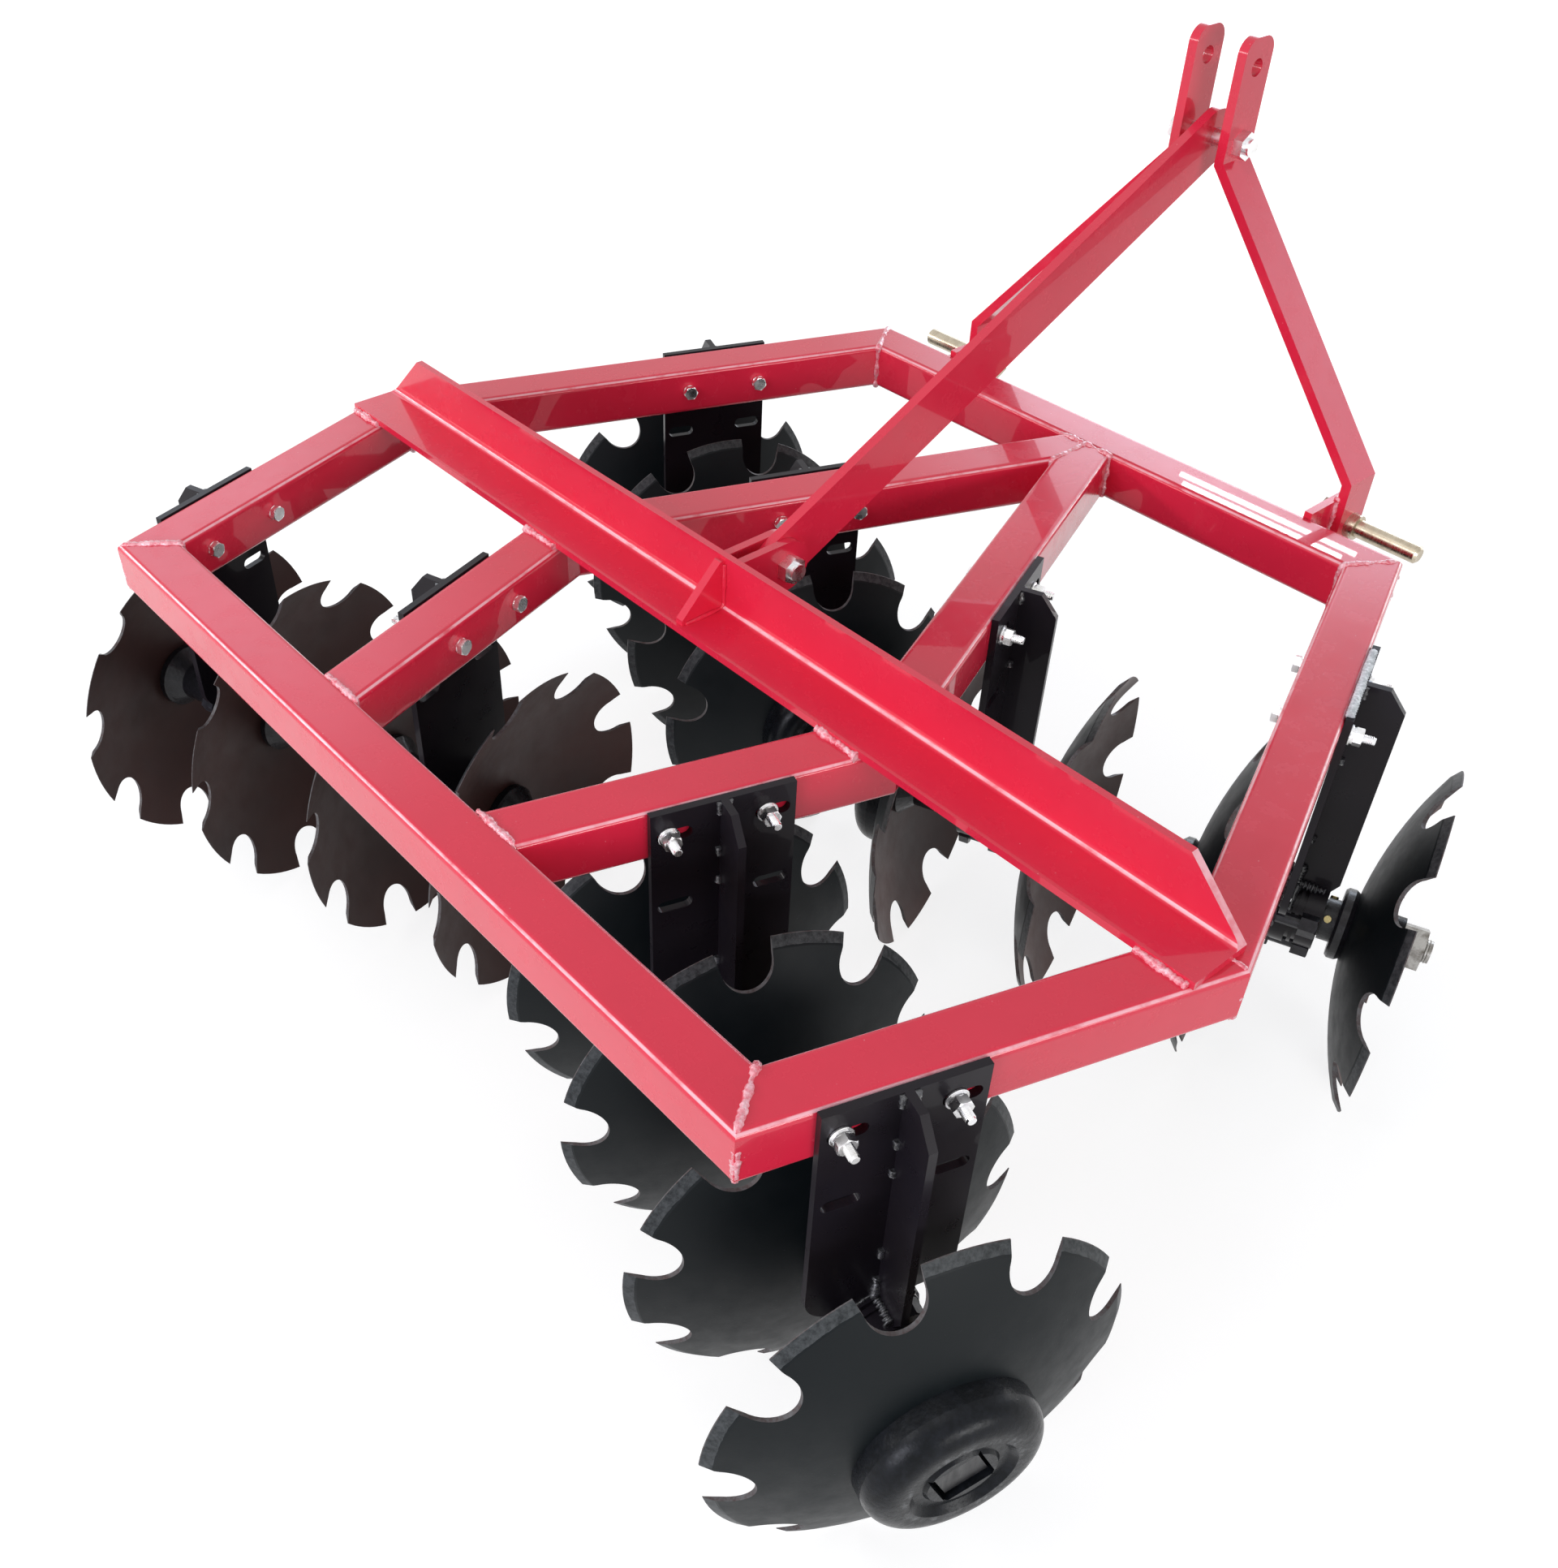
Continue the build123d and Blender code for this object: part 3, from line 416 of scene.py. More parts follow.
def disc_finish(name, centre, heading):
    """Thin black paint on a gang's discs: blue-black outside, reddish brown in the hollow as painted red light thrown
    back from the frame, grey on bevels and cut edges.
    """
    material, tree, shader, coords = start_finish(name)
    where = coords.outputs["Object"]
    # Reddish brown left on the hollow side: painted red light thrown back from the frame onto the black paint
    feeds = {"Vector": where, "Paint": rgba(0.064, 0.027, 0.023), "Thin Paint": rgba(0.037, 0.023, 0.022)}
    feeds |= {"Cloud Scale": 5.0, "Cloudiness": 0.8, "Pimple Scale": 190.0, "Pimple Size": 0.13}
    layer = place_group(tree, PAINT_FILM, feeds | between((0.38, 0.50)))
    place = place_on_gang(tree, coords, centre, heading)
    feeds = {"Vector": where, "Radius": place.outputs["Radius"], "Side": place.outputs["Side"]}
    rim = place_group(tree, GROUND_RIM, feeds)
    colour = blend_colour(tree, rim.outputs["Convex"], layer.outputs["Colour"], rgba(0.0040, 0.0060, 0.0072))
    colour = blend_colour(tree, rim.outputs["Bevel"], colour, rgba(0.062, 0.067, 0.070))
    colour = blend_colour(tree, rim.outputs["Cut"], colour, rgba(0.115, 0.115, 0.118))
    cover(tree, shader, colour, layer.outputs["Roughness"], 0.15)
    raise_surface(tree, shader, layer.outputs["Height"], 0.0003, 0.5)
    return material


def end_washer_finish(name, centre, heading):
    """Black painted casting with the paint rubbed pale on the crest of the domed washer."""
    material, tree, shader, coords = start_finish(name)
    where = coords.outputs["Object"]
    feeds = {"Vector": where, "Grain Scale": 150.0}
    feeds |= {"Low Colour": rgba(0.0040, 0.0048, 0.0060), "High Colour": rgba(0.0110, 0.0125, 0.0160)}
    skin = place_group(tree, SAND_SKIN, feeds | between((0.20, 0.34)))
    place = place_on_gang(tree, coords, centre, heading)
    off_crest = math(tree, "ABSOLUTE", math(tree, "SUBTRACT", place.outputs["Radius"], CAP_CREST))
    near_crest = ramp(tree, off_crest, 0.0015, 0.0055, 1.0, 0.0)
    on_dome = ramp(tree, place.outputs["Reach"], CAP_CREST_REACH, CAP_CREST_REACH + 0.003)
    worn = ramp(tree, noise(tree, where, 75.0, 6.0, 0.75), 0.50, 0.62)
    pale_mask = math(tree, "MULTIPLY", math(tree, "MULTIPLY", near_crest, on_dome), worn)
    pale_mask = math(tree, "MULTIPLY", pale_mask, 0.7)
    colour = blend_colour(tree, pale_mask, skin.outputs["Colour"], rgba(0.13, 0.135, 0.14))
    cover(tree, shader, colour, skin.outputs["Roughness"], 0.13)
    raise_surface(tree, shader, skin.outputs["Height"], 0.0003)
    return material


def shaft_finish(name, centre, heading):
    """Oiled bare steel at a gang shaft's nut, and black paint on its head."""
    material, tree, shader, coords = start_finish(name)
    feeds = {"Vector": coords.outputs["Object"], "Staining": 0.8}
    feeds |= {"Metal": rgba(0.44, 0.43, 0.41), "Stain": rgba(0.10, 0.085, 0.07)}
    grain = place_group(tree, METAL_GRAIN, feeds | between((0.28, 0.45)))
    place = place_on_gang(tree, coords, centre, heading)
    painted = math(tree, "GREATER_THAN", place.outputs["Reach"], HEAD_START)
    colour = blend_colour(tree, painted, grain.outputs["Colour"], rgba(0.005, 0.005, 0.006))
    cover(tree, shader, colour, grain.outputs["Roughness"])
    tree.links.new(math(tree, "SUBTRACT", 1.0, painted), shader.inputs["Metallic"])
    raise_surface(tree, shader, grain.outputs["Height"], 0.00015)
    return material


BLACK, BROWN_BLACK = rgba(0.0120, 0.0100, 0.0140), rgba(0.0150, 0.0105, 0.0110)
BLACK_FLECK = rgba(0.06, 0.06, 0.07)
RED_ENAMEL = {
    "paint": rgba(0.71, 0.021, 0.058), "thin": rgba(0.62, 0.016, 0.046), "fleck": rgba(0.90, 0.42, 0.48),
    "roughness": (0.18, 0.32), "coat": 0.55, "bump": 0.35, "pimple_scale": 110.0, "pimple_size": 0.08,
}
finishes = {
    "red_paint": paint_finish("red_enamel", **RED_ENAMEL),
    "black_paint": paint_finish(
        "black_gloss_paint", BLACK, BROWN_BLACK, BLACK_FLECK, (0.26, 0.34), 0.12, 0.0,
        specular=0.12, cloud_scale=7.0, pimple_scale=70.0, pimple_size=0.03),
    "cast_black": cast_finish(
        "black_casting", rgba(0.0085, 0.0085, 0.0098), rgba(0.020, 0.0195, 0.024), 170.0, (0.24, 0.44),
        0.0007, 0.15, 0.25),
    "plain_steel": metal_finish(
        "oiled_steel", rgba(0.42, 0.41, 0.39), rgba(0.10, 0.085, 0.07), 0.8, (0.28, 0.45)),
    "pin_steel": metal_finish(
        "turned_pin_steel", rgba(0.56, 0.49, 0.38), rgba(0.34, 0.28, 0.20), 0.6, (0.18, 0.34),
        (400.0, 30.0, 30.0), 0.00002),
    "zinc": metal_finish(
        "bright_zinc", rgba(0.88, 0.88, 0.90), rgba(0.60, 0.58, 0.52), 0.5, (0.18, 0.34), (60.0, 60.0, 60.0)),
}
# Red enamel with a pale painted highlight along the rounded top corners of the tubes and the cross angle
tube_enamel = paint_finish("red_tube_enamel", highlight_colour=rgba(0.96, 0.56, 0.62), **RED_ENAMEL)
# Red bead: its high grains are pale pink, painted glints over the red paint
red_bead = cast_finish(
    "red_weld", rgba(0.70, 0.070, 0.120), rgba(0.93, 0.55, 0.61), 210.0, (0.10, 0.26), 0.0012, 0.9)
# Black bead: its high grains are grey, painted glints on the black paint
black_bead = cast_finish(
    "black_weld", rgba(0.014, 0.014, 0.015), rgba(0.10, 0.10, 0.11), 230.0, (0.12, 0.30), 0.0009, 0.6)
bare_bead = cast_finish(
    "bare_weld", rgba(0.42, 0.45, 0.48), rgba(0.86, 0.90, 0.94), 260.0, (0.25, 0.45), 0.0008)
black_bolt = cast_finish(
    "black_bolt", rgba(0.012, 0.012, 0.015), rgba(0.040, 0.039, 0.048), 120.0, (0.24, 0.42), 0.0003, 0.15, 0.25)
yellow_zinc = metal_finish("yellow_zinc", rgba(0.55, 0.47, 0.22), rgba(0.28, 0.24, 0.12), 0.5, (0.25, 0.4))

# Gangs: the middle of each one's shaft line, its direction outwards and along its beam, and its discs' convex side
gang_lines = {}
for joint in frame["joints"]:
    outward = Vector(joint["axis"])
    along = Vector((-outward.y, outward.x, 0))
    if along.y < 0:
        along.negate()
    gang = joint["child"]
    gang_lines[gang] = (Vector(joint["pos_m"]), outward, along, 1 if gang.startswith("rear") else -1)
gang_finishes = {}
for gang, (centre, outward, along, convex) in gang_lines.items():
    heading = outward * convex
    gang_finishes[f"{gang}_discs"] = disc_finish(f"disc_paint_{gang}", centre, heading)
    gang_finishes[f"{gang}_end_washers"] = end_washer_finish(f"end_washer_paint_{gang}", centre, heading)
    gang_finishes[f"{gang}_shaft"] = shaft_finish(f"shaft_steel_{gang}", centre, heading)
for part in frame["record"]["subparts"]:
    materials = frame["nodes"][part["node"]].data.materials
    materials.clear()
    if "beam" in part["node"] or part["node"] == "cross_angle":
        materials.append(tube_enamel)
    else:
        materials.append(gang_finishes.get(part["node"]) or finishes[part["material_slot"]])


# Weld beads, laid by Geometry Nodes along the seams
def make_bead_tree():
    """Weld bead along each seam: it wanders a little, ripples, and swells and thins."""
    tree, given, result = new_tree(
        "weld_bead", "GeometryNodeTree",
        [("Seams", "NodeSocketGeometry", None), ("Bead Width", NUMBER, BEAD_WIDTH), ("Step", NUMBER, 0.0022),
         ("Ripple Pitch", NUMBER, 0.0062), ("Ripple", NUMBER, 0.16), ("Unevenness", NUMBER, 0.35),
         ("Seed", "NodeSocketInt", 3), ("Finish", "NodeSocketMaterial", None)],
        [("Beads", "NodeSocketGeometry", None)],
    )
    out = given.outputs
    curve = add(tree, "GeometryNodeMeshToCurve", {"Mesh": out["Seams"]})
    even = add(tree, "GeometryNodeResampleCurve", {"Curve": curve.outputs[0]}, mode="LENGTH")
    tree.links.new(out["Step"], even.inputs["Length"])
    place = add(tree, "GeometryNodeInputPosition")
    shift = add(tree, "ShaderNodeCombineXYZ", {0: out["Seed"], 1: out["Seed"]})
    moved = add(tree, "ShaderNodeVectorMath", {0: place.outputs[0], 1: shift.outputs[0]}, operation="ADD")
    wander = add(tree, "ShaderNodeTexNoise", {"Vector": moved.outputs[0], "Scale": 60.0, "Detail": 3.0})
    feeds = {0: wander.outputs["Color"], 1: (0.5, 0.5, 0.5)}
    centred = add(tree, "ShaderNodeVectorMath", feeds, operation="SUBTRACT")
    size = math(tree, "MULTIPLY", out["Bead Width"], math(tree, "MULTIPLY", out["Unevenness"], 0.9))
    offset = add(tree, "ShaderNodeVectorMath", {0: centred.outputs[0], "Scale": size}, operation="SCALE")
    laid = add(tree, "GeometryNodeSetPosition", {"Geometry": even.outputs[0], "Offset": offset.outputs[0]})
    length = add(tree, "GeometryNodeSplineParameter").outputs["Length"]
    wave = math(tree, "SINE", math(tree, "DIVIDE", math(tree, "MULTIPLY", length, 2 * pi), out["Ripple Pitch"]))
    ripples = math(tree, "MULTIPLY", wave, out["Ripple"])
    lumps = math(tree, "MULTIPLY", ramp(tree, wander.outputs["Fac"], 0.3, 0.7, -1.0, 1.0), out["Unevenness"])
    swell = math(tree, "ADD", ripples, lumps)
    radius = math(tree, "MULTIPLY", math(tree, "ADD", swell, 1.0), math(tree, "MULTIPLY", out["Bead Width"], 0.5))
    sized = add(tree, "GeometryNodeSetCurveRadius", {"Curve": laid.outputs[0], "Radius": radius})
    profile = add(tree, "GeometryNodeCurvePrimitiveCircle", {"Resolution": 8, "Radius": 1.0})
    feeds = {"Curve": sized.outputs[0], "Profile Curve": profile.outputs[0], "Fill Caps": True}
    bead = add(tree, "GeometryNodeCurveToMesh", feeds)
    tree.links.new(radius, bead.inputs["Scale"])
    smooth = add(tree, "GeometryNodeSetShadeSmooth", {"Geometry": bead.outputs[0]})
    real = add(tree, "GeometryNodeRealizeInstances", {0: smooth.outputs[0]})
    dressed = add(tree, "GeometryNodeSetMaterial", {"Geometry": real.outputs[0], "Material": out["Finish"]})
    return hand_out(tree, result, {"Beads": dressed.outputs[0]})


def make_fastener_tree():
    """Copies of a fastener at points, each turned to its own aim and spun at random about it."""
    tree, given, result = new_tree(
        "fastener", "GeometryNodeTree",
        [("Places", "NodeSocketGeometry", None), ("Fastener", "NodeSocketObject", None), ("Seed", "NodeSocketInt", 1),
         ("Finish", "NodeSocketMaterial", None)],
        [("Fasteners", "NodeSocketGeometry", None)],
    )
    out = given.outputs
    shape = add(tree, "GeometryNodeObjectInfo", {"Object": out["Fastener"]})
    aim = add(tree, "GeometryNodeInputNamedAttribute", {"Name": "aim"}, data_type="FLOAT_VECTOR")
    upright = add(tree, "FunctionNodeAlignRotationToVector", {"Vector": aim.outputs["Attribute"]}, axis="Z")
    spin = add(tree, "FunctionNodeRandomValue", {"Seed": out["Seed"]}, data_type="FLOAT")
    spin.inputs[3].default_value = pi / 3
    about = add(tree, "FunctionNodeAxisAngleToRotation", {"Axis": (0.0, 0.0, 1.0), "Angle": spin.outputs[1]})
    feeds = {0: upright.outputs[0], 1: about.outputs[0]}
    turned = add(tree, "FunctionNodeRotateRotation", feeds, rotation_space="LOCAL")
    feeds = {"Points": out["Places"], "Instance": shape.outputs["Geometry"], "Rotation": turned.outputs[0]}
    copies = add(tree, "GeometryNodeInstanceOnPoints", feeds)
    real = add(tree, "GeometryNodeRealizeInstances", {0: copies.outputs[0]})
    dressed = add(tree, "GeometryNodeSetMaterial", {"Geometry": real.outputs[0], "Material": out["Finish"]})
    return hand_out(tree, result, {"Fasteners": dressed.outputs[0]})


BEAD_TREE = make_bead_tree()
FASTENER_TREE = make_fastener_tree()


def grow(name, mesh, tree, settings, body):
    """Runs a Geometry Nodes tree over a mesh and keeps the result as one plain piece on a body."""
    source = link_object(bpy.data.objects.new(f"{name}_source", mesh))
    modifier = source.modifiers.new("grow", "NODES")
    modifier.node_group = tree
    sockets = {item.name: item.identifier for item in tree.interface.items_tree if item.in_out == "INPUT"}
    for title, value in settings.items():
        modifier[sockets[title]] = value
    evaluated = source.evaluated_get(bpy.context.evaluated_depsgraph_get())
    piece = link_object(bpy.data.objects.new(name, bpy.data.meshes.new_from_object(evaluated)))
    source.modifiers.remove(modifier)
    bpy.data.objects.remove(source)
    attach(piece, body)
    return piece


def lay_beads(name, seams, finish, slot, body="frame", **settings):
    """Beads along seams. A seam is a list of points, closed where its last point repeats the first."""
    points, edges = [], []
    for seam in seams:
        first = len(points)
        points += [Vector(point) for point in seam]
        edges += [(first + i, first + i + 1) for i in range(len(seam) - 1)]
    mesh = bpy.data.meshes.new(f"{name}_seams")
    mesh.from_pydata(points, edges, [])
    return grow(name, mesh, BEAD_TREE, in_words(settings) | {"Finish": finish}, body)


def set_fasteners(name, shape, places, finish, body="frame", seed=1):
    """Copies of a fastener at (point, direction) places."""
    mesh = bpy.data.meshes.new(f"{name}_places")
    mesh.from_pydata([point for point, aim in places], [], [])
    aims = mesh.attributes.new("aim", "FLOAT_VECTOR", "POINT")
    for i, (point, aim) in enumerate(places):
        aims.data[i].vector = aim
    return grow(name, mesh, FASTENER_TREE, {"Fastener": shape, "Seed": seed, "Finish": finish}, body)


# Shapes of the fasteners, each standing on the XY plane with its axis up Z
def circle(mesh, radius, height, sides):
    turns = [2 * pi * i / sides for i in range(sides)]
    return [mesh.verts.new((radius * cos(turn), radius * sin(turn), height)) for turn in turns]


def lathe(mesh, profile, sides):
    """Turned shape in a bmesh from (radius, height) points, closed on its axis."""
    rings = []
    for radius, height in profile:
        rings.append(circle(mesh, radius, height, sides) if radius else [mesh.verts.new((0, 0, height))])
    for low, high in zip(rings, rings[1:]):
        for i in range(sides):
            corners = [low[i % len(low)], low[(i + 1) % len(low)], high[(i + 1) % len(high)], high[i % len(high)]]
            unique = list(dict.fromkeys(corners))
            if len(unique) > 2:
                mesh.faces.new(unique)


def hexagon(mesh, flats, bottom, top):
    """Hexagon with its corners chamfered at the top, as a bolt's head or a nut has."""
    corner = flats / 3**0.5
    low = [mesh.verts.new((corner * cos(pi / 3 * i), corner * sin(pi / 3 * i), bottom)) for i in range(6)]
    chamfer = (corner - flats / 2) * 0.55
    crown_radius = flats * 0.475
    steps = 4  # round the crown for each flat
    sides = 6 * steps
    mid = []
    for i in range(sides):
        angle = 2 * pi * i / sides
        off = (angle + pi / 6) % (pi / 3) - pi / 6
        reach = flats / 2 / cos(pi / 6 - abs(off))
        over = (reach - flats / 2) / (corner - flats / 2)
        mid.append(mesh.verts.new((reach * cos(angle), reach * sin(angle), top - chamfer * over)))
    crown = circle(mesh, crown_radius, top, sides)
    middle = mesh.verts.new((0, 0, top))
    for i in range(sides):
        mesh.faces.new((mid[i], mid[(i + 1) % sides], crown[(i + 1) % sides], crown[i]))
        mesh.faces.new((crown[i], crown[(i + 1) % sides], middle))
    for i in range(6):
        edge = [mid[(steps * i + k) % sides] for k in range(steps + 1)]
        mesh.faces.new([low[i], low[(i + 1) % 6], *edge[::-1]])
    mesh.faces.new(low[::-1])


def thread_profile(radius, start, end, pitch):
    """Rings of a screw thread with a chamfered tip."""
    steps = [(radius * 0.87, start)]
    height = start
    while height + pitch < end - pitch / 2:
        steps += [(radius, height + pitch * 0.5), (radius * 0.87, height + pitch)]
        height += pitch
    return steps + [(radius * 0.8, end - pitch * 0.1), (radius * 0.7, end), (0, end)]


def template(name, build):
    """Mesh object that the fastener tree copies. It is not shown itself."""
    shape = bmesh.new()
    build(shape)
    bmesh.ops.recalc_face_normals(shape, faces=shape.faces)
    mesh = bpy.data.meshes.new(name)
    shape.to_mesh(mesh)
    shape.free()
    return bpy.data.objects.new(name, mesh)


def washer(mesh, radius, thickness):
    """Washer with its edges chamfered. The bolt fills its hole."""
    flat, edge = radius - WASHER_CHAMFER, thickness - WASHER_CHAMFER
    lathe(mesh, [(0, 0), (flat, 0), (radius, WASHER_CHAMFER), (radius, edge), (flat, thickness), (0, thickness)], 28)


def plate_nut(mesh):
    """Flat washer, spring washer and nut, with the bolt's thread standing out of it."""
    nut_base = WASHER_THICKNESS + SPRING_THICKNESS
    nut_top = nut_base + NUT_HEIGHT
    washer(mesh, WASHER_RADIUS, WASHER_THICKNESS)
    spring = [(0, WASHER_THICKNESS), (SPRING_RADIUS, WASHER_THICKNESS), (SPRING_RADIUS, nut_base), (0, nut_base)]
    lathe(mesh, spring, 20)
    hexagon(mesh, NUT_FLATS, nut_base, nut_top)
    thread = thread_profile(PLATE_BOLT_RADIUS, nut_top - 0.001, nut_top + PLATE_BOLT_TAIL, PLATE_BOLT_PITCH)
    lathe(mesh, thread, 16)


def plate_head(mesh):
    """Washer and head of a plate bolt."""
    washer(mesh, SPRING_RADIUS, SPRING_THICKNESS)
    hexagon(mesh, NUT_FLATS, SPRING_THICKNESS, SPRING_THICKNESS + HEAD_HEIGHT)


def clamp_bolt(mesh):
    """Bolt beside the bearing, from its nut behind the plate to its head in front."""
    nut_base = PLATE_THICKNESS - HOUSING_FAR + CLAMP_HEIGHT - CLAMP_NUT_BEHIND
    tip = nut_base - 0.004
    hexagon(mesh, CLAMP_FLATS, 0, CLAMP_HEIGHT)
    shank = [(0, tip), (CLAMP_RADIUS - 0.001, tip), (CLAMP_RADIUS, tip + 0.001), (CLAMP_RADIUS, 0.001), (0, 0.001)]
    lathe(mesh, shank, 14)
    hexagon(mesh, CLAMP_FLATS, nut_base, nut_base + CLAMP_NUT_HEIGHT)


def grease_nipple(mesh):
    hexagon(mesh, 0.009, 0, 0.004)
    ball = [(0.0028, 0.004), (0.0028, 0.008), (0.0038, 0.0095), (0.0038, 0.0115), (0.0022, 0.0135), (0, 0.0135)]
    lathe(mesh, ball, 14)


def set_screw(mesh):
    """Short screw with a socket sunk in its end."""
    lathe(mesh, [(0.0045, 0), (0.0045, 0.004), (0.004, 0.0045), (0.0023, 0.0045), (0.0023, 0.003), (0, 0.003)], 12)


def shaft_thread(mesh):
    """Thread of a gang shaft's end."""
    lathe(mesh, thread_profile(THREAD_RADIUS, 0, THREAD_END - THREAD_START, THREAD_PITCH), 28)


nut_shape = template("plate_nut", plate_nut)
head_shape = template("plate_head", plate_head)
clamp_shape = template("clamp_bolt", clamp_bolt)
nipple_shape = template("grease_nipple", grease_nipple)
screw_shape = template("set_screw", set_screw)
thread_shape = template("shaft_thread", shaft_thread)

# Standards: the middle of each one's top, where its plate lies on its beam
UP = Vector((0, 0, 1))
standards = {}
for gang, (centre, outward, along, convex) in gang_lines.items():
    for position, inset in (("outer", 0.0), ("inner", STANDARD_SPACING)):
        seat = centre + outward * (SEAT_OUT - inset)
        seat.z = FRAME_TOP
        standards[f"{gang.removesuffix('_gang')}_{position}"] = (seat, outward, along)


def on_standard(standard, out, along_beam, up):
    """Point of a standard: out from its beam's face, along the beam, and above the frame's top."""
    seat, outward, along = standards[standard]
    return seat + outward * out + along * along_beam + UP * up


nuts, heads, clamps, nipples = [], [], [], []
for name, (seat, outward, along) in standards.items():
    for side in (-1, 1):
        stretch = side * BOLT_SPREAD + BOLT_SHIFT
        nuts.append((on_standard(name, PLATE_THICKNESS, stretch, -BOLT_DROP), outward))
        heads.append((on_standard(name, -TUBE, stretch, -BOLT_DROP), -outward))
    for degrees in CLAMP_ANGLES:
        across, rise = -CLAMP_CIRCLE * cos(radians(degrees)), CLAMP_CIRCLE * sin(radians(degrees))
        place = on_standard(name, HOUSING_FAR - CLAMP_HEIGHT - 0.001, across, rise - SHAFT_BELOW_TOP)
        clamps.append((place, outward))
    place = on_standard(name, 0.004, -HOUSING_RADIUS * 0.64, HOUSING_RADIUS * 0.76 - SHAFT_BELOW_TOP)
    nipples.append((place, UP * 0.76 - along * 0.64))
set_fasteners("plate_nuts", nut_shape, nuts, finishes["zinc"], seed=4)
set_fasteners("plate_bolt_heads", head_shape, heads, finishes["zinc"], seed=9)
set_fasteners("bearing_bolts", clamp_shape, clamps, black_bolt, seed=2)
set_fasteners("grease_nipples", nipple_shape, nipples, finishes["zinc"], seed=5)

# Set screws in the journals' collars, and the threads of the shafts' ends, which turn with the gangs
for gang, (centre, outward, along, convex) in gang_lines.items():
    screws = []
    for bearing in (-STANDARD_SPACING / 2, STANDARD_SPACING / 2):
        for degrees in SET_SCREW_ANGLES:
            aim = UP * sin(radians(degrees)) - along * cos(radians(degrees))
            screws.append((centre + outward * (bearing + COLLAR_OUT) + aim * (COLLAR_RADIUS - 0.002), aim))
    set_fasteners(f"{gang}_set_screws", screw_shape, screws, yellow_zinc, gang, seed=3)
    hollow_way = -outward * convex
    thread = [(centre + hollow_way * THREAD_START, hollow_way)]
    set_fasteners(f"{gang}_shaft_thread", thread_shape, thread, finishes["plain_steel"], gang)

# Plan of the frame's corners and joints, for the right half
rear_half = WIDEST_HALF - REAR_SIDE_RUN * tan(REAR_ANGLE)
front_half = WIDEST_HALF - (FRONT_FACE_Y - WIDEST_Y) * tan(FRONT_ANGLE)
rear_way = Vector((sin(REAR_ANGLE), cos(REAR_ANGLE)))
front_way = Vector((-sin(FRONT_ANGLE), cos(FRONT_ANGLE)))
rear_corner = Vector((rear_half, REAR_FACE_Y))
widest_corner = Vector((WIDEST_HALF, WIDEST_Y))
front_corner = Vector((front_half, FRONT_FACE_Y))


def left_of(point, way, distance):
    """Point at a distance to the left of a way."""
    return point + Vector((-way.y, way.x)) * distance


def meet(point_a, way_a, point_b, way_b):
    """Where two lines of the plan cross."""
    cross = way_a.x * way_b.y - way_a.y * way_b.x
    gap = point_b - point_a
    return point_a + way_a * ((gap.x * way_b.y - gap.y * way_b.x) / cross)


EAST, WEST, NORTH = Vector((1, 0)), Vector((-1, 0)), Vector((0, 1))
rear_inner = Vector((0, REAR_FACE_Y + TUBE))
front_inner = Vector((0, FRONT_FACE_Y - TUBE))
rear_corner_in = meet(rear_inner, EAST, left_of(rear_corner, rear_way, TUBE), rear_way)
widest_corner_in = meet(
    left_of(widest_corner, rear_way, TUBE), rear_way, left_of(widest_corner, front_way, TUBE), front_way)
front_corner_in = meet(front_inner, WEST, left_of(front_corner, front_way, TUBE), front_way)
tee_out, tee_in = (
    meet(rear_inner, EAST, left_of(rear_corner, rear_way, reach), rear_way)
    for reach in (STANDARD_SPACING, STANDARD_SPACING + TUBE))
fork_out = meet(front_inner, WEST, left_of(widest_corner, front_way, STANDARD_SPACING), front_way)
fork_mid = meet(Vector((0, 0)), NORTH, left_of(widest_corner, front_way, STANDARD_SPACING + TUBE), front_way)
top_z = FRAME_TOP - BEAD_SINK
low_z = FRAME_TOP - TUBE + BEAD_SINK


def around(outer, inner):
    """Seam round a tube from its outer corner, where the bead is ground flush, to its inner one."""
    sunk = outer + (inner - outer).normalized() * FLUSH_SINK
    shoulder = sunk + (inner - outer) * 0.07
    seam = [(*sunk, low_z), (*sunk, top_z - 0.005), (*shoulder, top_z), (*inner, top_z), (*inner, low_z)]
    return seam + [seam[0]]


def both_sides(seams):
    """Seams of the right half and their mirror images."""
    return seams + [[(-x, y, z) for x, y, z in seam] for seam in seams]


frame_seams = both_sides([
    around(rear_corner, rear_corner_in),
    around(front_corner, front_corner_in),
    around(widest_corner, widest_corner_in),
    around(tee_out, tee_in),
])
frame_seams += both_sides([[(*fork_out, low_z), (*fork_out, top_z), (*front_inner, top_z)]])
frame_seams.append([(*front_inner, top_z), (*fork_mid, top_z)])
frame_seams.append([(*fork_mid, top_z), (*fork_mid, low_z)])
lay_beads(
    "frame_welds", frame_seams, red_bead, "red_paint", seed=3, bead_width=0.0080, unevenness=0.42, ripple=0.12)


# Cross angle: beads along both its edges wherever it lies on a beam
def cross_at(point, way, y):
    """Where a line of the plan comes to a y."""
    return point + way * ((y - point.y) / way.y)


def across_beam(corner, way, reach, y, off, limit):
    """Seam over a beam's top at a y, from one side of the beam to the other."""
    outer = cross_at(left_of(corner, way, reach), way, y)
    inner = cross_at(left_of(corner, way, reach + TUBE), way, y)
    ends = min(outer.x, limit) - BEAD_INSET, inner.x + BEAD_INSET
    return [(x, y + off, FRAME_TOP + PROUD) for x in ends]


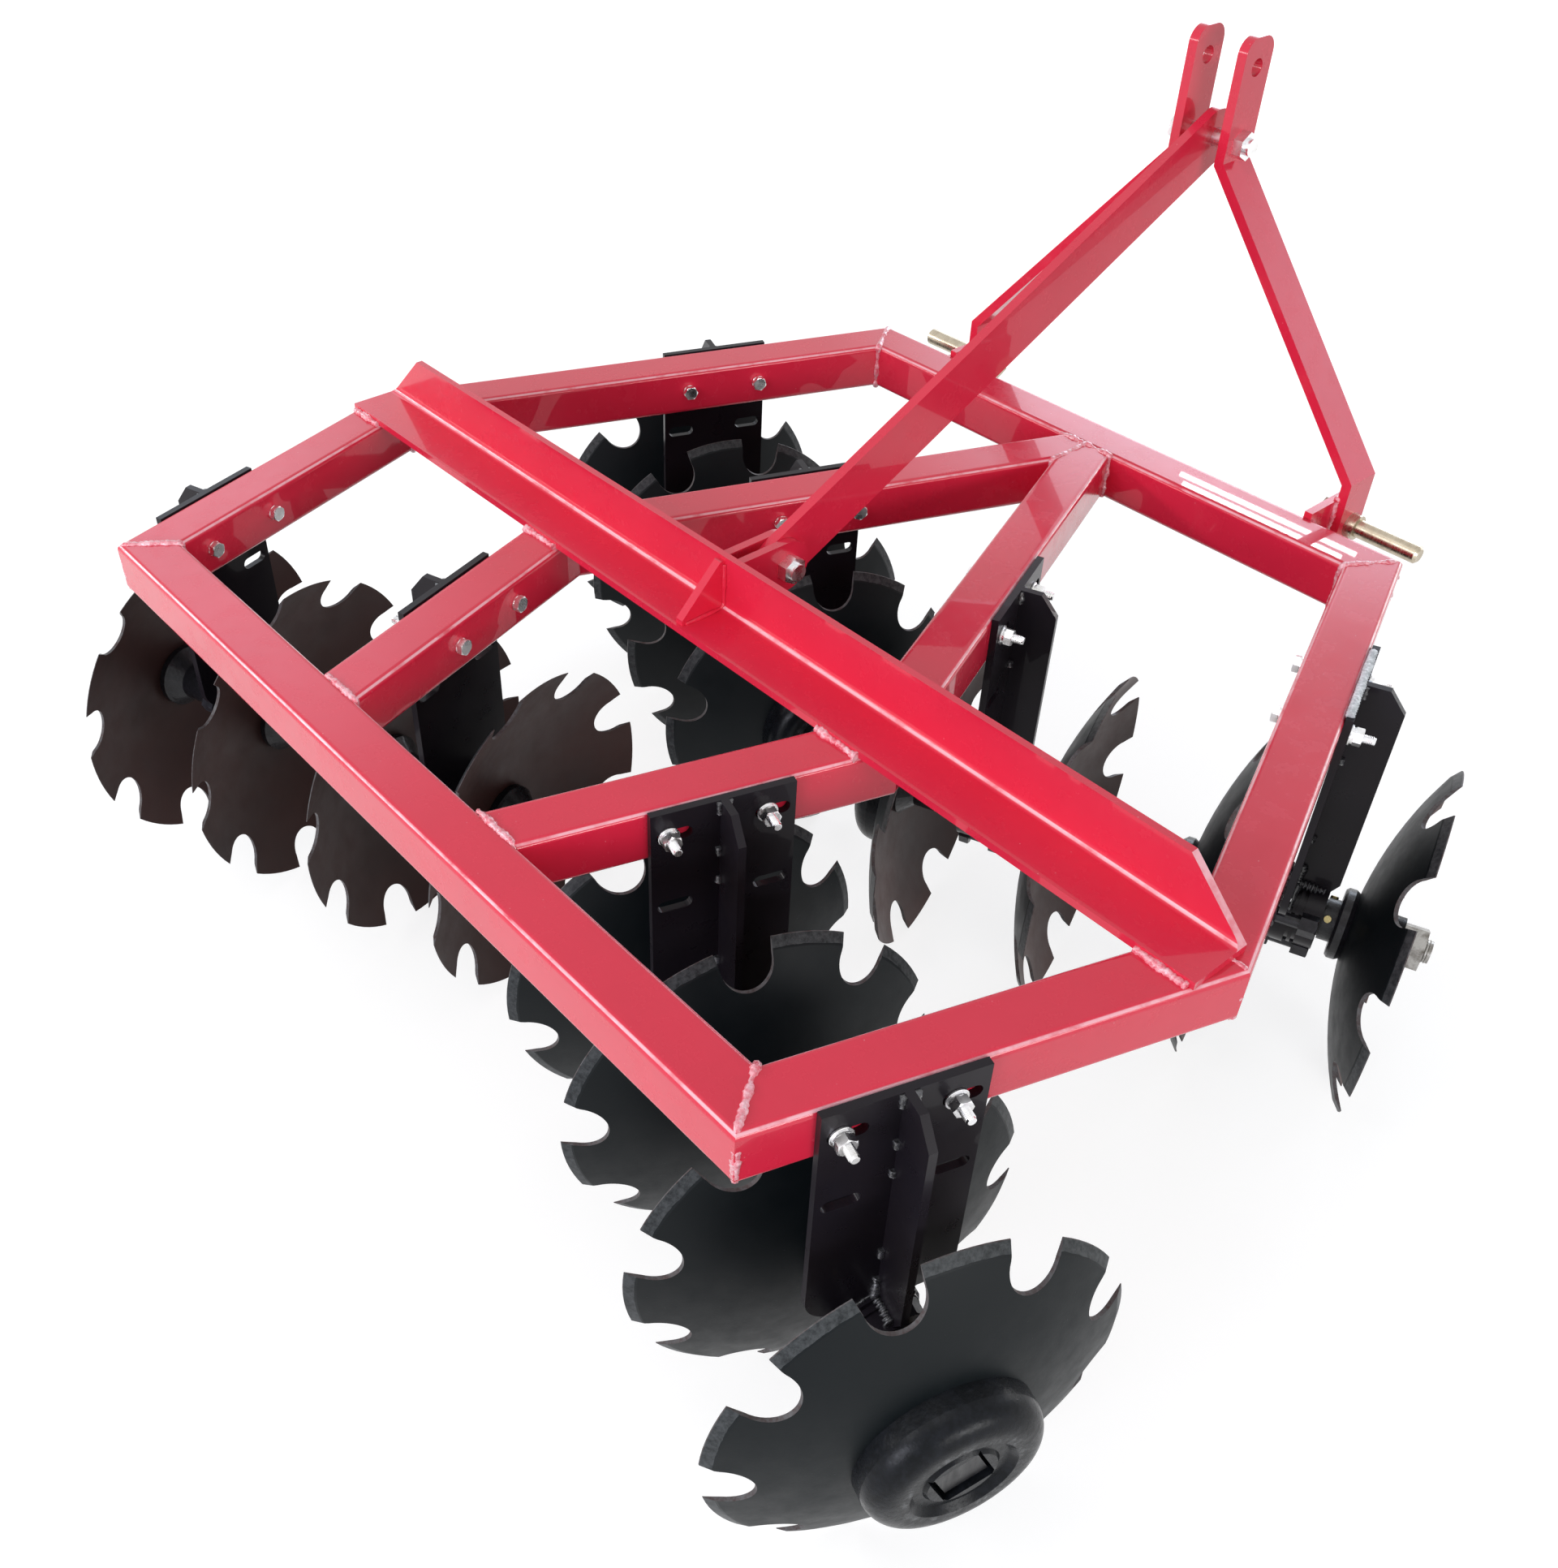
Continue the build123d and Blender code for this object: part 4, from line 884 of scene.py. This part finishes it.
angle_seams = []
for corner, way, y, off, limit in (
    (rear_corner, rear_way, ANGLE_REAR_Y, -PROUD, ANGLE_REAR_LIMIT),
    (widest_corner, front_way, ANGLE_FRONT_Y, PROUD, ANGLE_FRONT_LIMIT),
):
    angle_seams += [across_beam(corner, way, reach, y, off, limit) for reach in (0.0, STANDARD_SPACING)]
lay_beads("angle_welds", both_sides(angle_seams), red_bead, "red_paint", seed=8, bead_width=0.0095, unevenness=0.5)

# Gusset in the angle, the lugs of the brace behind it, and the hitch plates with the feet of the mast
gusset_low, gusset_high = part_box("angle_gusset")
gusset_x = gusset_high.x + 0.0006
floor_z = FRAME_TOP + ANGLE_THICKNESS + PROUD
wall_y = ANGLE_FRONT_Y - ANGLE_THICKNESS - PROUD
gusset_path = (
    (gusset_low.y + 0.004, floor_z), (wall_y - 0.004, floor_z), (wall_y, floor_z + 0.004),
    (wall_y, gusset_high.z - 0.004))
gusset_seams = both_sides([[(gusset_x, y, z) for y, z in gusset_path]])
lug_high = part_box("brace_lug_right")[1]
lug_x = lug_high.x + BARELY_PROUD
lug_seams = both_sides([[(lug_x, ANGLE_FRONT_Y + PROUD, z) for z in (FRAME_TOP + 0.002, lug_high.z - 0.006)]])
plate_low, plate_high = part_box("hitch_plate_right")
foot_low, foot_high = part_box("mast_upright_right")
hitch_seams = both_sides([
    [(plate_low.x - BARELY_PROUD, FRONT_FACE_Y + PROUD, z) for z in (plate_low.z + 0.004, FRAME_TOP - 0.003)],
    [(plate_high.x + BARELY_PROUD, FRONT_FACE_Y + PROUD, z) for z in (plate_low.z + 0.004, FRAME_TOP - 0.003)],
    [(plate_high.x, foot_low.y - PROUD, z) for z in (plate_low.z + 0.006, plate_high.z - 0.002)],
    [(plate_high.x - BARELY_PROUD, y, plate_high.z + BARELY_PROUD) for y in (foot_low.y, foot_high.y - 0.002)],
])
lay_beads(
    "gusset_welds", gusset_seams, finishes["red_paint"], "red_paint", seed=13,
    bead_width=0.0045, unevenness=0.3, ripple=0.05)
lay_beads("bracket_welds", lug_seams + hitch_seams, red_bead, "red_paint", seed=5, bead_width=0.0075)

# Standards: short beads down both sides of the fin, round its foot, and over the housing
standard_seams, foot_seams = [], []
ring = HOUSING_RADIUS + BARELY_PROUD
ring_turns = [radians(degrees) for degrees in range(35, 146, 11)]
face = PLATE_THICKNESS + 0.0008
for name in standards:
    for side in (-1, 1):
        edge = side * (FIN_HALF + 0.0008)
        for heights in FIN_BEADS:
            standard_seams.append([on_standard(name, face, edge, height) for height in heights])
        foot = HOUSING_RADIUS - SHAFT_BELOW_TOP
        foot_edge = edge + side * 0.001
        foot_seams.append([
            on_standard(name, face, edge, FIN_FOOT_BEAD_TOP),
            on_standard(name, face + 0.001, foot_edge, foot + 0.002),
            on_standard(name, FIN_FOOT_OUT, foot_edge, foot),
        ])
    for out in (PLATE_THICKNESS + 0.001, -0.001):
        standard_seams.append([
            on_standard(name, out, ring * cos(turn), ring * sin(turn) - SHAFT_BELOW_TOP) for turn in ring_turns])
lay_beads("standard_welds", standard_seams, black_bead, "black_paint", seed=6, bead_width=0.0070, unevenness=0.5)
lay_beads(
    "fin_foot_welds", foot_seams, black_bead, "black_paint", seed=11,
    bead_width=0.0088, unevenness=0.45, ripple=0.4, ripple_pitch=0.0045, step=0.0012)

# Unpainted bead over the front right plate's top edge
bare_seam = [on_standard("front_right_outer", 0.003, stretch, 0.001) for stretch in (-0.068, 0.058)]
lay_beads(
    "bare_plate_weld", [bare_seam], bare_bead, "zinc", seed=7,
    bead_width=0.0066, unevenness=0.12, ripple=0.5, ripple_pitch=0.0050, step=0.0008)


def make_camera():
    """Camera at the photograph's place and angle."""
    lens = bpy.data.cameras.new("camera")
    lens.sensor_fit = "HORIZONTAL"
    lens.sensor_width = 36
    lens.lens = CAMERA_LENS
    lens.shift_x, lens.shift_y = CAMERA_SHIFT
    camera = link_object(bpy.data.objects.new("camera", lens))
    camera.location = CAMERA_PLACE
    camera.rotation_euler = CAMERA_TURN
    bpy.context.scene.camera = camera


def shown_rays(tree):
    """1 for the rays that show the background: seen directly, in gloss or through glass."""
    path = add(tree, "ShaderNodeLightPath")
    shown = math(tree, "MAXIMUM", path.outputs["Is Camera Ray"], path.outputs["Is Glossy Ray"])
    return math(tree, "MAXIMUM", shown, path.outputs["Is Transmission Ray"])


def make_floor():
    """Pale floor that keeps the machine's shadow and shows white further out."""
    half = FLOOR_HALF
    mesh = bpy.data.meshes.new("floor")
    mesh.from_pydata([(-half, -half, 0), (half, -half, 0), (half, half, 0), (-half, half, 0)], [], [(0, 1, 2, 3)])
    floor = link_object(bpy.data.objects.new("floor", mesh))
    material = bpy.data.materials.new("pale_floor")
    material.use_nodes = True
    tree = material.node_tree
    shader = tree.nodes["Principled BSDF"]
    shader.inputs["Base Color"].default_value = rgba(FLOOR_GREY, FLOOR_GREY, FLOOR_GREY)
    shader.inputs["Roughness"].default_value = 0.8
    where = add(tree, "ShaderNodeTexCoord").outputs["Object"]
    distance = add(tree, "ShaderNodeVectorMath", {0: where}, operation="LENGTH").outputs["Value"]
    strength = math(tree, "MULTIPLY", ramp(tree, distance, *GLOW_REACH, *GLOW), shown_rays(tree))
    glow = add(tree, "ShaderNodeEmission", {"Color": rgba(1, 1, 1), "Strength": strength})
    total = add(tree, "ShaderNodeAddShader", {0: shader.outputs[0], 1: glow.outputs[0]})
    tree.links.new(total.outputs[0], tree.nodes["Material Output"].inputs["Surface"])
    mesh.materials.append(material)


def soften_edges(light):
    """Fades a lamp towards its edges, so that its reflection ends softly."""
    light.use_nodes = True
    tree = light.node_tree
    across = add(tree, "ShaderNodeSeparateXYZ", {0: add(tree, "ShaderNodeNewGeometry").outputs["Parametric"]})
    strength = 1.0
    for axis in ("X", "Y"):
        off_middle = math(tree, "ABSOLUTE", math(tree, "SUBTRACT", across.outputs[axis], 0.5))
        feeds = {"Value": off_middle, "From Min": 0.12, "From Max": 0.5, "To Min": 1.0, "To Max": 0.0}
        fade = add(tree, "ShaderNodeMapRange", feeds, interpolation_type="SMOOTHSTEP")
        strength = math(tree, "MULTIPLY", strength, fade.outputs["Result"])
    tree.links.new(strength, tree.nodes["Emission"].inputs["Strength"])


def make_lamp(name, place, target, size, power, tint=PLAIN_TINT, soft=False):
    """Rectangular lamp that shines from a place to a target."""
    light = bpy.data.lights.new(name, "AREA")
    if soft:
        soften_edges(light)
    light.color = tint
    light.shape = "RECTANGLE"
    light.size, light.size_y = size
    light.energy = power
    lamp = link_object(bpy.data.objects.new(name, light))
    lamp.visible_camera = False
    lamp.location = place
    lamp.rotation_euler = (Vector(target) - Vector(place)).to_track_quat("-Z", "Y").to_euler()


def make_studio():
    """White world and soft lamps."""
    world = bpy.data.worlds.new("studio")
    world.use_nodes = True
    tree = world.node_tree
    background = tree.nodes["Background"]
    background.inputs["Color"].default_value = rgba(1, 1, 1)
    strength = ramp(tree, shown_rays(tree), 0.0, 1.0, WORLD_LIGHT, 1.0)
    tree.links.new(strength, background.inputs["Strength"])
    bpy.context.scene.world = world
    bpy.context.scene.view_settings.view_transform = "Standard"
    for lamp in LAMPS:
        make_lamp(*lamp)
    for i, (x, y, length) in enumerate(TUBE_LAMPS):
        make_lamp(f"tube_lamp_{i + 1}", (x, y, 3.2), (x, y - 4.5, 0.52), (length, 0.022), 1.5 * length)


make_camera()
make_floor()
make_studio()
